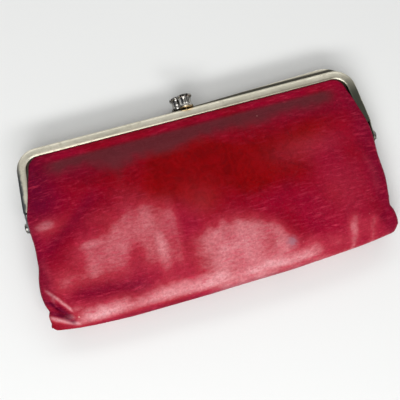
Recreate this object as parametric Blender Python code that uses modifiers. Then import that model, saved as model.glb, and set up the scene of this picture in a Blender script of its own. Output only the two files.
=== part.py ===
"""A long leather clutch wallet with a kiss-lock metal frame, lying on its back.

Lengths are in millimetres until they reach Blender, which gets metres. X runs along the
wallet, Y from its bottom edge to the clasp, Z from the back panel to the front panel.
"""

import math

import bmesh
import bpy
import numpy as np
from mathutils import Matrix, Vector

MM = 0.001

# Overall layout. Y counts from just under the bottom edge; ORIGIN_Y is the object's middle.
ORIGIN_Y = 57.96
HINGE_Y = 63.0
HINGE_Z = 12.0

# Channel frames
BAR_TOP = 105.0             # outer edge of the front bar
CHANNEL_WIDTH = 5.0         # face of the bar
CHANNEL_DEPTH = 5.4         # front to back
CHANNEL_WALL = 0.7
CHANNEL_END = 70.5          # the channel stops here and only its side wall goes on to the hinge
HALF_GAP = 0.15             # between each frame and the parting plane
FRONT_HALF = 101.3          # outer edge of the front frame at the hinge
BACK_HALF = 100.2
FRONT_CORNER = (98.4, BAR_TOP, 12.5)      # where arm and bar would meet, and the radius there
BACK_RIGHT_CORNER = (97.6, 109.8, 16.0)   # the back frame is sprung: its right end stands proud
BACK_LEFT_CORNER = (-97.6, 104.0, 16.0)
CORNER_STEPS = 14

# Hinge
TAB_RADIUS = 3.4
TAB_THICKNESS = 0.6
TAB_INSET = 0.15
TAB_NECK_TOP = 74.0
RIVET_RADIUS = 1.0
RIVET_HOLE_RADIUS = 1.09

# Kiss-lock posts
POST_HEIGHT = 8.2
FRONT_POST_X = 1.3
BACK_POST_X = -2.1
FRONT_POST_Z = 16.1
BACK_POST_Z = 7.85
POST_LEAN_OUT = math.radians(3.0)
FRONT_POST_LEAN = math.radians(4.0)
BACK_POST_LEAN = math.radians(1.5)

# Leather envelope
LEATHER = 1.2
LINING = 0.5
LINING_INSET = 1.8          # from the leather's outer face to the lining's
SHEET_INSET = 2.0           # leather edge, inside the frame's outer edge
CHANNEL_FRONT_Z = 16.2      # outer face of the front leather inside its channel
FRONT_Z = 25.0              # top of the puffed front panel
BOTTOM_Y = 0.8
ROLL_Y = 16.0
FRAME_ROWS_FROM = 80.0      # above this the rows of the sheets follow the frame
FOLD_LOW = 50.0
FOLD_HIGH = 70.0
PIECE_GAP = 0.3

# Where the sheets have their points: y from the bar down, and shares of the half width
COLUMNS = (0.0, 0.15, 0.3, 0.45, 0.58, 0.69, 0.78, 0.85, 0.9, 0.94, 0.972, 1.0)
LINING_COLUMNS = (0.0, 0.2, 0.4, 0.6, 0.74, 0.84, 0.92, 1.0)
HELD_HEIGHTS = (103.0, 101.4, 99.9, 98.3, 96.4, 94.0, 91.0, 87.5, 84.0)
BACK_HEIGHTS = (80.0, 74.0, 69.0, 64.0, 58.0, 50.0, 40.0, 28.0)
LINING_HELD_HEIGHTS = (97.5, 95.0, 92.0, 88.5, 84.0, 76.0)
LINING_BACK_HEIGHTS = (68.0, 58.0, 44.0, 30.0)

# Filler cords
FILLER_END = CHANNEL_END + 1.0
FILLER_STEPS = 7

# Zip pocket behind the card slots
POCKET_HALF = 71.0
POCKET_LOW = 20.0
POCKET_REAR_TOP = 66.0
POCKET_REAR_Z = 2.75
POCKET_EDGE_Z = 4.1
POCKET_PUFF = 2.85
POCKET_CLOTH = 0.5
ZIP_LOW = (59.5, 6.95)       # y and z of the zip's lower tape edge, and of its upper one
ZIP_HIGH = (67.5, 3.75)
ZIP_TILT = math.atan2(ZIP_HIGH[1] - ZIP_LOW[1], ZIP_HIGH[0] - ZIP_LOW[0])
ZIP_WIDTH = math.dist(ZIP_LOW, ZIP_HIGH)
ZIP_TRAVEL = 128.0
TAPE_FACES = (-0.25, 0.25)
TAPE_ENDS = (-POCKET_HALF + 2.0, POCKET_HALF - 2.0)
TAPE_FROM_MIDDLE = 1.6
CHAIN_MIDDLE = 0.5 * ZIP_WIDTH
CHAIN_HALF = 68.0
CHAIN_FROM_MIDDLE = 1.25
CHAIN_FACES = (-0.4, 0.5)

# Card slots, the first one deepest
CARD_HALF = 82.0
CARD_CLOTH = 0.55
CARD_LOW_Z = 7.35
CARD_STEP = CARD_CLOTH + 0.3
CARD_TOPS = (("top", 56.0), ("middle", 48.0), ("bottom", 40.0))

bpy.ops.object.select_all(action="DESELECT")
for leftover in list(bpy.data.objects):
    bpy.data.objects.remove(leftover, do_unlink=True)


def new_collection(name, helper=False):
    made = bpy.data.collections.new(name)
    bpy.context.scene.collection.children.link(made)
    made.hide_render = helper
    return made


WALLET = new_collection("frame_clutch_wallet")
CUTTERS = new_collection("cutters", helper=True)


def new_material(name, colour, roughness, metallic=0.0):
    made = bpy.data.materials.new(name)
    made.use_nodes = True
    shader = made.node_tree.nodes["Principled BSDF"]
    shader.inputs["Base Color"].default_value = (*colour, 1.0)
    shader.inputs["Roughness"].default_value = roughness
    shader.inputs["Metallic"].default_value = metallic
    made.diffuse_color = (*colour, 1.0)
    return made


NO_FINISH = new_material("cutter", (0.5, 0.5, 0.5), 0.5)
RED_LEATHER = (0.32, 0.008, 0.02)
DARK_LEATHER = (0.2, 0.006, 0.015)
LINING_CLOTH = (0.05, 0.035, 0.03)
NICKEL = (0.62, 0.58, 0.49)
ANTIQUE_SILVER = (0.36, 0.35, 0.32)
BRASS = (0.6, 0.36, 0.12)
KRAFT = (0.42, 0.3, 0.18)
ZIP_TAPE = (0.06, 0.02, 0.02)


def finish(obj, material):
    """One material, and smooth shading."""
    obj.data.materials.clear()
    obj.data.materials.append(material)
    for polygon in obj.data.polygons:
        polygon.use_smooth = True
    return obj


def link(name, data, material, collection=WALLET):
    obj = bpy.data.objects.new(name, data)
    collection.objects.link(obj)
    return finish(obj, material) if obj.type == "MESH" else obj


def as_mesh(obj, material):
    """A curve object turned into a closed mesh object that a Boolean can take."""
    bpy.context.view_layer.update()
    evaluated = obj.evaluated_get(bpy.context.evaluated_depsgraph_get())
    mesh = bpy.data.meshes.new_from_object(evaluated)
    shape = bmesh.new()
    shape.from_mesh(mesh)
    bmesh.ops.remove_doubles(shape, verts=shape.verts, dist=0.000001)
    bmesh.ops.recalc_face_normals(shape, faces=shape.faces)
    shape.to_mesh(mesh)
    shape.free()
    name, collection = obj.name, obj.users_collection[0]
    matrix = obj.matrix_world.copy()
    bpy.data.objects.remove(obj, do_unlink=True)
    made = link(name, mesh, material, collection)
    made.matrix_world = matrix
    return made


def poly_curve(name, points, cyclic):
    """A curve of straight pieces through points given in millimetres."""
    curve = bpy.data.curves.new(name, "CURVE")
    curve.dimensions = "2D"
    spline = curve.splines.new("POLY")
    spline.points.add(len(points) - 1)
    for place, (x, y) in zip(spline.points, points):
        place.co = (x * MM, y * MM, 0.0, 1.0)
    spline.use_cyclic_u = cyclic
    return curve


def flat_plate(name, outline, thickness, material, collection=WALLET):
    """A flat outline given a thickness, centred on its own XY plane."""
    curve = poly_curve(name, outline, cyclic=True)
    curve.fill_mode = "BOTH"
    curve.extrude = 0.5 * thickness * MM
    curve.materials.append(material)
    return link(name, curve, material, collection)


def as_helper(obj):
    obj.hide_render = True
    obj.display_type = "WIRE"
    return obj


def smoothstep(low, high, value):
    share = min(max((value - low) / (high - low), 0.0), 1.0)
    return share * share * (3.0 - 2.0 * share)


# ---------------------------------------------------------------- frame outlines


def rounded_path(corners, steps):
    """Points along a polyline whose inner corners (x, y, radius) are turned into arcs."""
    points = [np.array(corners[0][:2], float)]
    for before, corner, after in zip(corners, corners[1:], corners[2:]):
        here = np.array(corner[:2], float)
        towards_before = np.array(before[:2], float) - here
        towards_after = np.array(after[:2], float) - here
        towards_before /= np.linalg.norm(towards_before)
        towards_after /= np.linalg.norm(towards_after)
        half_angle = 0.5 * math.acos(float(towards_before @ towards_after))
        bisector = towards_before + towards_after
        bisector /= np.linalg.norm(bisector)
        radius = corner[2]
        centre = here + bisector * radius / math.sin(half_angle)
        first = here + towards_before * radius / math.tan(half_angle) - centre
        last = here + towards_after * radius / math.tan(half_angle) - centre
        turn = math.atan2(
            first[0] * last[1] - first[1] * last[0], float(first @ last)
        )
        count = max(2, round(steps * abs(turn) / (0.5 * math.pi)))
        for step in range(count + 1):
            angle = turn * step / count
            cosine, sine = math.cos(angle), math.sin(angle)
            arm = (
                cosine * first[0] - sine * first[1],
                sine * first[0] + cosine * first[1],
            )
            points.append(centre + np.array(arm))
    points.append(np.array(corners[-1][:2], float))
    return np.array(points)


def frame_path(half, right, left, end, steps=CORNER_STEPS):
    """Outer edge of a frame, from its right hinge end over the top to its left hinge end."""
    return rounded_path(
        [
            (half, end, 0.0),
            (half, 73.0, 30.0),
            right,
            left,
            (-half, 73.0, 30.0),
            (-half, end, 0.0),
        ],
        steps,
    )


FRONT_LEFT_CORNER = (-FRONT_CORNER[0], FRONT_CORNER[1], FRONT_CORNER[2])
FRONT_PATH = frame_path(FRONT_HALF, FRONT_CORNER, FRONT_LEFT_CORNER, CHANNEL_END)
BACK_PATH = frame_path(BACK_HALF, BACK_RIGHT_CORNER, BACK_LEFT_CORNER, CHANNEL_END)


def path_normals(path):
    """Unit vectors across the path, pointing into the frame."""
    along = np.gradient(path, axis=0)
    along /= np.linalg.norm(along, axis=1)[:, None]
    return np.stack([-along[:, 1], along[:, 0]], axis=1)


def inset(path, distance):
    return path + path_normals(path) * distance


def distance_to(path, x, y):
    starts, ends = path[:-1], path[1:]
    along = ends - starts
    point = np.array([x, y])
    share = np.einsum("ij,ij->i", point - starts, along) / np.einsum("ij,ij->i", along, along)
    nearest = starts + along * np.clip(share, 0.0, 1.0)[:, None]
    return float(np.min(np.linalg.norm(point - nearest, axis=1)))


class Outline:
    """Edge of the sheet held in a frame: its half width at a height, and its top at a place."""

    def __init__(self, path):
        full = inset(path, SHEET_INSET)
        bar = int(np.argmax(np.abs(np.diff(full[:, 0]))))
        self.right = self._side(full[: bar + 1])
        self.left = self._side(full[: bar : -1])
        self.top = full[len(self.right) - 1 : len(full) - len(self.left) + 1][::-1]

    @staticmethod
    def _side(branch):
        """The part of a branch that is steeper than 45 degrees."""
        steps = np.abs(np.diff(branch, axis=0))
        steep = np.flatnonzero(steps[:, 1] > steps[:, 0])
        return branch[: int(steep[-1]) + 2]

    def side(self, across):
        return self.right if across >= 0.0 else self.left

    def half_width(self, across, y):
        branch = self.side(across)
        return abs(float(np.interp(y, branch[:, 1], branch[:, 0])))

    def place(self, across, share):
        """The point at this share of the way from FRAME_ROWS_FROM to the held edge."""
        corner_x, corner_y = self.side(across)[-1]
        side_y = FRAME_ROWS_FROM + share * (corner_y - FRAME_ROWS_FROM)
        top_y = float(np.interp(across * abs(corner_x), self.top[:, 0], self.top[:, 1]))
        return (
            across * self.half_width(across, side_y),
            FRAME_ROWS_FROM + share * (top_y - FRAME_ROWS_FROM),
        )


FRONT_OUTLINE = Outline(FRONT_PATH)
BACK_OUTLINE = Outline(BACK_PATH)


# ---------------------------------------------------------------- swept channels and cords


def channel_section():
    """The U of the frame: distance in from the outer edge, and height above its inner lip."""
    depth, width, wall = CHANNEL_DEPTH, CHANNEL_WIDTH, CHANNEL_WALL
    outside = [
        (0.0, 0.5),
        (0.0, depth - 1.2),
        (0.13, depth - 0.72),
        (0.45, depth - 0.38),
        (0.9, depth - 0.2),
        (1.4, depth - 0.12),
        (2.5, depth - 0.02),
        (3.6, depth),
        (4.3, depth - 0.1),
        (width - 0.12, depth - 0.42),
        (width, depth - 0.72),
    ]
    inside = [
        (width - 0.3, depth - 0.95),
        (4.1, depth - 0.83),
        (3.4, depth - wall),
        (1.4, depth - wall - 0.1),
        (wall + 0.08, depth - 1.3),
        (wall, depth - 1.7),
        (wall, wall + 0.1),
        (wall + 0.15, wall),
        (width - 0.1, wall),
        (width, wall - 0.1),
        (width, 0.1),
        (width - 0.1, 0.0),
        (0.5, 0.0),
        (0.15, 0.15),
    ]
    return outside + inside


def sweep(name, path, section, height_of, material):
    """A section carried along a flat path. height_of turns the section's height into Z."""
    flip = 1.0 if height_of(1.0) > height_of(0.0) else -1.0
    profile = link(
        f"{name}_profile",
        poly_curve(
            f"{name}_profile", [(-inward, flip * height) for inward, height in section], True
        ),
        material,
        CUTTERS,
    )
    curve = poly_curve(name, [(x, y - ORIGIN_Y) for x, y in path], False)
    curve.bevel_mode = "OBJECT"
    curve.bevel_object = profile
    curve.use_fill_caps = True
    rail = link(name, curve, material)
    rail.location.z = height_of(0.0) * MM
    rail = as_mesh(rail, material)
    bpy.data.objects.remove(profile, do_unlink=True)
    return rail


def above_parting(height):
    return HINGE_Z + HALF_GAP + height


def below_parting(height):
    return HINGE_Z - HALF_GAP - height


# ---------------------------------------------------------------- turned parts and cutters


def turned(name, profile, steps, material, location, rotation, collection=WALLET):
    """A solid of revolution about its own Z: profile is (radius, height) from top to bottom."""
    mesh = bpy.data.meshes.new(name)
    mesh.from_pydata(
        [(radius * MM, 0.0, height * MM) for radius, height in profile],
        [(index, index + 1) for index in range(len(profile) - 1)],
        [],
    )
    obj = link(name, mesh, material, collection)
    screw = obj.modifiers.new("turn", "SCREW")
    screw.axis = "Z"
    screw.steps = steps
    screw.render_steps = steps
    screw.use_merge_vertices = True
    screw.merge_threshold = 0.000001
    screw.use_smooth_shade = True
    obj.location = Vector(location) * MM
    obj.rotation_euler = rotation
    return obj


def cylinder_cutter(name, radius, length, location, rotation):
    shape = bmesh.new()
    bmesh.ops.create_cone(
        shape,
        cap_ends=True,
        segments=24,
        radius1=radius * MM,
        radius2=radius * MM,
        depth=length * MM,
    )
    mesh = bpy.data.meshes.new(name)
    shape.to_mesh(mesh)
    shape.free()
    cutter = as_helper(link(name, mesh, NO_FINISH, CUTTERS))
    cutter.location = Vector(location) * MM
    cutter.rotation_euler = rotation
    return cutter


def boolean(obj, other, operation):
    step = obj.modifiers.new(operation.lower() + "_" + other.name, "BOOLEAN")
    step.operation = operation
    step.solver = "EXACT"
    step.object = other


def tab_outline(height_of):
    """The hinge disc, with a neck that runs up into the channel's side wall, in y and z."""
    towards = 1.0 if height_of(1.0) > height_of(0.0) else -1.0
    outline = []
    for step in range(21):
        angle = math.radians(100.0 + 271.0 * step / 20)
        outline.append(
            (
                TAB_RADIUS * math.cos(angle),
                towards * TAB_RADIUS * math.sin(angle),
            )
        )
    low = height_of(0.5) - HINGE_Z
    high = height_of(CHANNEL_DEPTH - 1.3) - HINGE_Z
    top = TAB_NECK_TOP - HINGE_Y
    return outline + [(top, low), (top, high), (CHANNEL_END - 1.0 - HINGE_Y, high)]


# ---------------------------------------------------------------- the leather envelope

BACK_SPAN = BAR_TOP - SHEET_INSET - ROLL_Y     # length of the back part of the section
ROLL_SPAN = 30.0
SECTION = 2.0 * BACK_SPAN + ROLL_SPAN
SHEET_TOP = BAR_TOP - SHEET_INSET


def back_row(y):
    return SHEET_TOP - y


def front_row(y):
    return SECTION - (SHEET_TOP - y)


def roll_row(degrees):
    return BACK_SPAN + ROLL_SPAN * (degrees + 90.0) / 180.0


def lower_half_width(y):
    """Half width of the bag below the frame: waisted under the hinges, full at the bottom."""
    return 100.4 + 1.1 * (1.0 - smoothstep(16.0, 48.0, y))


def puff(distance, reach):
    """How far the leather has swelled at this distance inside the frame's outer edge, 0 to 1."""
    return 1.0 - math.exp(-((max(distance - 6.5, 0.0) / reach) ** 1.3))


def front_z(across, x, y):
    held = smoothstep(56.0, 74.0, y)
    edge = CHANNEL_FRONT_Z + 2.3 * (1.0 - smoothstep(60.0, 71.5, y)) * (1.0 - held * 0.4)
    top = FRONT_Z - 0.0006 * (y - 38.0) ** 2
    side_puff = 1.0 - abs(across) ** 6
    share = side_puff
    if held > 0.0:
        share += held * (puff(distance_to(FRONT_PATH, x, y), 12.0) - side_puff)
    return edge + (top - edge) * share


def back_z(across, x, y):
    held = smoothstep(56.0, 74.0, y)
    channel = 2.0 * HINGE_Z - CHANNEL_FRONT_Z
    edge = channel - 3.3 * (1.0 - smoothstep(54.0, 71.5, y))
    side_drop = abs(across) ** 8
    share = side_drop
    if held > 0.0:
        share += held * (1.0 - puff(distance_to(BACK_PATH, x, y), 7.0) - side_drop)
    return edge * max(share - 0.03, 0.0) / 0.97


def flat_place(outline, across, y):
    if y > FRAME_ROWS_FROM:
        share = (y - FRAME_ROWS_FROM) / (SHEET_TOP - FRAME_ROWS_FROM)
        return outline.place(across, share)
    free = 1.0 - smoothstep(60.0, 70.0, y)
    held_width = outline.half_width(across, y)
    width = held_width + free * (lower_half_width(y) - held_width)
    return across * width, y


def envelope(across, row):
    """A point of the leather's outer face. across runs from -1 to 1, row along the section."""
    if row < BACK_SPAN:
        x, y = flat_place(BACK_OUTLINE, across, SHEET_TOP - row)
        return Vector((x, y, back_z(across, x, y)))
    if row > BACK_SPAN + ROLL_SPAN:
        x, y = flat_place(FRONT_OUTLINE, across, SHEET_TOP - (SECTION - row))
        return Vector((x, y, front_z(across, x, y)))
    angle = math.pi * ((row - BACK_SPAN) / ROLL_SPAN - 0.5)
    x = across * (lower_half_width(ROLL_Y) - 5.0 * math.cos(angle) ** 4)
    bottom = BOTTOM_Y + 4.6 * abs(across) ** 4
    low, high = back_z(across, x, ROLL_Y), front_z(across, x, ROLL_Y)
    return Vector(
        (
            x,
            ROLL_Y - (ROLL_Y - bottom) * math.cos(angle),
            0.5 * (low + high) + 0.5 * (high - low) * math.sin(angle),
        )
    )


def inner_point(across, row, depth):
    """The point of the envelope moved inwards by depth."""
    step_across, step_row = 0.004, 0.4
    along_x = envelope(min(across + step_across, 1.0), row) - envelope(across - step_across, row)
    along_row = envelope(across, row + step_row) - envelope(across, row - step_row)
    return envelope(across, row) - along_x.cross(along_row).normalized() * depth


def shell(name, rows, columns, point_at, thickness, material):
    """An open grid bent into place by point_at(column, row), with a thickness behind it."""
    shape = bmesh.new()
    bmesh.ops.create_grid(
        shape, x_segments=len(columns) - 1, y_segments=len(rows) - 1, size=0.5
    )
    for corner in shape.verts:
        column = columns[round((corner.co.x + 0.5) * (len(columns) - 1))]
        row = rows[round((corner.co.y + 0.5) * (len(rows) - 1))]
        x, y, z = point_at(column, row)
        corner.co = Vector((x, y - ORIGIN_Y, z)) * MM
    mesh = bpy.data.meshes.new(name)
    shape.to_mesh(mesh)
    shape.free()
    obj = link(name, mesh, material)
    solid = obj.modifiers.new("thickness", "SOLIDIFY")
    solid.thickness = thickness * MM
    solid.offset = -1.0
    solid.use_even_offset = True
    solid.use_quality_normals = True
    return obj


def both_ways(columns):
    return [-column for column in reversed(columns[1:])] + list(columns)


def lining_point(across, row):
    """The lining stops short of the channels above, and of the gussets below."""
    y = envelope(0.0, row).y
    narrowing = 0.935 - 0.05 * (1.0 - smoothstep(58.0, 74.0, y))
    return inner_point(across * narrowing, row, LINING_INSET)


# ---------------------------------------------------------------- frames


def build_frame(name, path, height_of, tab_outer_x, material):
    frame = sweep(name, path, channel_section(), height_of, material)
    outline = tab_outline(height_of)
    for side, label in ((1, "right"), (-1, "left")):
        tab = flat_plate(f"{name}_tab_{label}", outline, TAB_THICKNESS, NO_FINISH, CUTTERS)
        tab.matrix_world = Matrix(
            (
                (0.0, 0.0, 1.0, side * (tab_outer_x - 0.5 * TAB_THICKNESS) * MM),
                (1.0, 0.0, 0.0, (HINGE_Y - ORIGIN_Y) * MM),
                (0.0, 1.0, 0.0, HINGE_Z * MM),
                (0.0, 0.0, 0.0, 1.0),
            )
        )
        boolean(frame, as_helper(as_mesh(tab, NO_FINISH)), "UNION")
        hole = cylinder_cutter(
            f"{name}_hole_{label}",
            RIVET_HOLE_RADIUS,
            4.0,
            (side * tab_outer_x, HINGE_Y - ORIGIN_Y, HINGE_Z),
            (0.0, math.radians(90.0), 0.0),
        )
        boolean(frame, hole, "DIFFERENCE")
    return frame


def build_filler(name, path, height_of, material):
    """The paper cord that wedges the leather in its channel."""
    section = [
        (1.8, 1.75),
        (2.1, 1.5),
        (3.7, 1.5),
        (4.0, 1.75),
        (4.0, 2.2),
        (3.7, 2.45),
        (2.1, 2.45),
        (1.8, 2.2),
    ]
    return sweep(name, path, section, height_of, material)


def build_hinge_rivet(name, side, material):
    """A tubular rivet through both frames' tabs: its head is outside, its clenched end inside."""
    seat = FRONT_HALF - TAB_INSET + PIECE_GAP
    reach = seat - (BACK_HALF - TAB_INSET - TAB_THICKNESS) + PIECE_GAP
    profile = [
        (0.0, 0.7),
        (0.9, 0.75),
        (1.3, 1.25),
        (2.0, 1.35),
        (2.6, 1.0),
        (2.8, 0.45),
        (2.8, 0.0),
        (RIVET_RADIUS, 0.0),
        (RIVET_RADIUS, -reach),
        (1.7, -reach),
        (1.75, -reach - 0.4),
        (1.2, -reach - 0.75),
        (0.0, -reach - 0.8),
    ]
    place_at = (side * seat, HINGE_Y - ORIGIN_Y, HINGE_Z)
    return turned(name, profile, 24, material, place_at, (0.0, side * math.radians(90.0), 0.0))


def post_rotation(lean_across, lean_out):
    """Turns local Z to the post's axis: along +Y, leaning towards +X and towards +Z."""
    axis = Vector((math.sin(lean_across), 1.0, math.sin(lean_out))).normalized()
    return Vector((0.0, 0.0, 1.0)).rotation_difference(axis).to_euler()


def build_post(label, path, x, z, rotation, spool_material, rivet_material, frame):
    """One kiss-lock post: a waisted spool, held by a small brass rivet through the bar."""
    bar = float(np.interp(x, path[::-1, 0], path[::-1, 1]))
    foot = (x, bar - ORIGIN_Y, z)
    top = POST_HEIGHT
    spool = [
        (0.0, top),
        (3.5, top - 0.03),
        (4.1, top - 0.2),
        (4.32, top - 0.55),
        (4.32, top - 1.15),
        (4.1, top - 1.45),
        (3.72, top - 1.7),
        (3.45, top - 2.3),
        (3.32, top - 3.3),
        (3.32, top - 4.3),
        (3.42, top - 5.2),
        (3.65, top - 5.9),
        (4.0, top - 6.25),
        (4.16, top - 6.5),
        (4.18, top - 7.0),
        (4.0, top - 7.4),
        (3.5, top - 7.6),
        (0.75, top - 7.6),
        (0.75, top - 5.2),
        (0.0, top - 5.2),
    ]
    rivet = [
        (0.0, 2.6),
        (0.4, 2.6),
        (0.5, 2.5),
        (0.5, -1.45),
        (0.68, -1.45),
        (0.68, -1.75),
        (0.0, -1.8),
    ]
    hole = cylinder_cutter(f"{label}_post_hole", 0.6, 4.0, foot, rotation)
    boolean(frame, hole, "DIFFERENCE")
    return (
        turned(f"{label}_clasp_spool", spool, 40, spool_material, foot, rotation),
        turned(f"{label}_clasp_rivet", rivet, 20, rivet_material, foot, rotation),
    )


nickel = new_material("nickel_frame", NICKEL, 0.3, 1.0)
silver = new_material("antique_silver", ANTIQUE_SILVER, 0.22, 1.0)
brass = new_material("brass", BRASS, 0.3, 1.0)
paper = new_material("kraft_paper", KRAFT, 0.85)
red = new_material("red_leather", RED_LEATHER, 0.32)
dark = new_material("dark_leather", DARK_LEATHER, 0.5)
cloth = new_material("lining_cloth", LINING_CLOTH, 0.9)
tape = new_material("zip_tape", ZIP_TAPE, 0.85)

front_frame = build_frame("front_frame", FRONT_PATH, above_parting, FRONT_HALF - TAB_INSET, nickel)
back_frame = build_frame("back_frame", BACK_PATH, below_parting, BACK_HALF - TAB_INSET, nickel)

front_filler = build_filler(
    "front_filler_cord",
    frame_path(FRONT_HALF, FRONT_CORNER, FRONT_LEFT_CORNER, FILLER_END, FILLER_STEPS),
    above_parting,
    paper,
)
build_filler(
    "back_filler_cord",
    frame_path(BACK_HALF, BACK_RIGHT_CORNER, BACK_LEFT_CORNER, FILLER_END, FILLER_STEPS),
    below_parting,
    paper,
)

build_hinge_rivet("hinge_rivet_right", 1, nickel)
build_hinge_rivet("hinge_rivet_left", -1, nickel)

front_spool, front_rivet = build_post(
    "front",
    FRONT_PATH,
    FRONT_POST_X,
    FRONT_POST_Z,
    post_rotation(FRONT_POST_LEAN, POST_LEAN_OUT),
    silver,
    brass,
    front_frame,
)
build_post(
    "back",
    BACK_PATH,
    BACK_POST_X,
    BACK_POST_Z,
    post_rotation(BACK_POST_LEAN, -POST_LEAN_OUT),
    silver,
    brass,
    back_frame,
)

# ---------------------------------------------------------------- leather and lining

body_rows = (
    [back_row(y) for y in HELD_HEIGHTS + BACK_HEIGHTS + (ROLL_Y,)]
    + [roll_row(18.0 * step) for step in range(-4, 5)]
    + [front_row(y) for y in (ROLL_Y, 27.0, 38.0, FOLD_LOW)]
)
fold_rows = [
    front_row(y) for y in (FOLD_LOW + PIECE_GAP, 55.0, 60.0, 65.0, FOLD_HIGH - PIECE_GAP)
]
upper_rows = [front_row(y) for y in (FOLD_HIGH, 75.0, 80.0) + HELD_HEIGHTS[::-1]]
wide_columns = both_ways(COLUMNS)

shell("leather_body", body_rows, wide_columns, envelope, LEATHER, red)
shell("leather_front_fold", fold_rows, wide_columns, envelope, LEATHER, red)
leather_front_upper = shell(
    "leather_front_upper", upper_rows, wide_columns, envelope, LEATHER, red
)

lining_columns = both_ways(LINING_COLUMNS)
lining_body_rows = (
    [back_row(y) for y in LINING_HELD_HEIGHTS + LINING_BACK_HEIGHTS + (ROLL_Y,)]
    + [roll_row(22.5 * step) for step in range(-3, 4)]
    + [front_row(y) for y in (ROLL_Y, 33.0, FOLD_LOW)]
)
lining_fold_rows = [
    front_row(y) for y in (FOLD_LOW + PIECE_GAP, 57.0, 63.5, FOLD_HIGH + 1.0 - PIECE_GAP)
]
lining_upper_rows = [front_row(y) for y in (FOLD_HIGH + 1.0,) + LINING_HELD_HEIGHTS[::-1]]
shell("lining_body", lining_body_rows, lining_columns, lining_point, LINING, cloth)
shell("lining_front_fold", lining_fold_rows, lining_columns, lining_point, LINING, cloth)
lining_front_upper = shell(
    "lining_front_upper", lining_upper_rows, lining_columns, lining_point, LINING, cloth
)


def gusset_point(side, share, y):
    """A point of a side wall folded inwards like a bellows: share runs from front to back."""
    width = lower_half_width(y)
    edge = 0.975 * side
    held_y = max(y, ROLL_Y)
    low = back_z(edge, edge * width, held_y)
    high = front_z(edge, edge * width, held_y)
    half = 0.5 * (high - low)
    clearance = LEATHER + 0.5
    if y < ROLL_Y:
        closing = (ROLL_Y - y) / (ROLL_Y - BOTTOM_Y - 4.2)
        width -= 5.0 * closing**4
        half *= math.sqrt(1.0 - closing**2)
        clearance += 0.6
    half -= clearance
    inward = 2.6 + 6.0 * math.sin(math.pi * share)
    return side * (width - inward), y, 0.5 * (high + low) + side * half * (1.0 - 2.0 * share)


def build_gusset(name, side, material):
    heights = (57.0, 50.0, 42.0, 34.0, 26.0, 20.0, ROLL_Y, 12.5, 10.0, 8.0)
    shares = [step / 8 for step in range(9)]
    return shell(
        name, heights, shares, lambda share, y: gusset_point(side, share, y), 0.8, material
    )


build_gusset("gusset_right", 1, dark)
build_gusset("gusset_left", -1, dark)

# ---------------------------------------------------------------- pocket and card slots


def pocket_plate(name, half_x, high_y, low_z, thickness, material, radius=3.0):
    """A flat sheet with rounded lower corners, its lower face at low_z."""
    outline = [(-half_x, high_y), (half_x, high_y)]
    for centre_x, first in ((half_x - radius, 0.0), (radius - half_x, -90.0)):
        for step in range(4):
            angle = math.radians(first - 30.0 * step)
            outline.append(
                (
                    centre_x + radius * math.cos(angle),
                    POCKET_LOW + radius + radius * math.sin(angle),
                )
            )
    plate = flat_plate(name, outline, thickness, material)
    plate.location = Vector((0.0, -ORIGIN_Y, low_z + 0.5 * thickness)) * MM
    return plate


def pocket_front_point(across, y):
    """The zip pocket's front is held down along its sides and bottom and puffed between."""
    rise = smoothstep(POCKET_LOW - 1.0, POCKET_LOW + 11.0, y) * (1.0 - abs(across) ** 8)
    return across * POCKET_HALF, y, POCKET_EDGE_Z + POCKET_PUFF * rise


pocket_plate(
    "zip_pocket_rear", POCKET_HALF, POCKET_REAR_TOP, POCKET_REAR_Z, POCKET_CLOTH, cloth
)
shell(
    "zip_pocket_front",
    (POCKET_LOW, 22.0, 25.0, 30.0, 40.0, 50.0, 58.5),
    both_ways((0.0, 0.35, 0.65, 0.85, 0.95, 1.0)),
    pocket_front_point,
    POCKET_CLOTH,
    cloth,
)


def zip_strip(name, ends, across, heights, material, collection=WALLET):
    """A straight bar along the zip. across is measured up its slope, heights from its tape."""
    shape = bmesh.new()
    bmesh.ops.create_cube(shape, size=MM)
    size = [limits[1] - limits[0] for limits in (ends, across, heights)]
    bmesh.ops.scale(shape, vec=size, verts=shape.verts)
    mesh = bpy.data.meshes.new(name)
    shape.to_mesh(mesh)
    shape.free()
    strip = bpy.data.objects.new(name, mesh)
    collection.objects.link(strip)
    mesh.materials.append(material)
    middle = Vector([0.5 * sum(limits) for limits in (ends, across, heights)])
    turn = Matrix.Rotation(ZIP_TILT, 3, "X")
    origin = Vector((0.0, ZIP_LOW[0] - ORIGIN_Y, ZIP_LOW[1]))
    strip.location = (origin + turn @ middle) * MM
    strip.rotation_euler = (ZIP_TILT, 0.0, 0.0)
    return strip


def build_slider(name, start, material):
    """The zip's slider: its body over the chain, a bridge, and a short pull lying flat."""
    middle = CHAIN_MIDDLE
    body = ((start - 3.2, start + 3.2), (middle - 2.3, middle + 2.3), (0.8, 1.5))
    pieces = {
        "bridge": ((start - 1.2, start + 1.2), (middle - 0.7, middle + 0.7), (1.3, 2.6)),
        "pull": ((start - 0.6, start + 9.0), (middle - 1.5, middle + 1.5), (2.0, 2.5)),
    }
    slider = zip_strip(name, *body, material)
    for label, piece in pieces.items():
        boolean(slider, as_helper(zip_strip(f"{name}_{label}", *piece, material, CUTTERS)), "UNION")
    return slider


low_tape = (0.0, CHAIN_MIDDLE - TAPE_FROM_MIDDLE)
high_tape = (CHAIN_MIDDLE + TAPE_FROM_MIDDLE, ZIP_WIDTH)
chain = (CHAIN_MIDDLE - CHAIN_FROM_MIDDLE, CHAIN_MIDDLE + CHAIN_FROM_MIDDLE)
zip_strip("zip_tape_lower", TAPE_ENDS, low_tape, TAPE_FACES, tape)
zip_strip("zip_tape_upper", TAPE_ENDS, high_tape, TAPE_FACES, tape)
zip_strip("zip_chain", (-CHAIN_HALF, CHAIN_HALF), chain, CHAIN_FACES, brass)
build_slider("zip_slider", -0.5 * ZIP_TRAVEL, brass)

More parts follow.
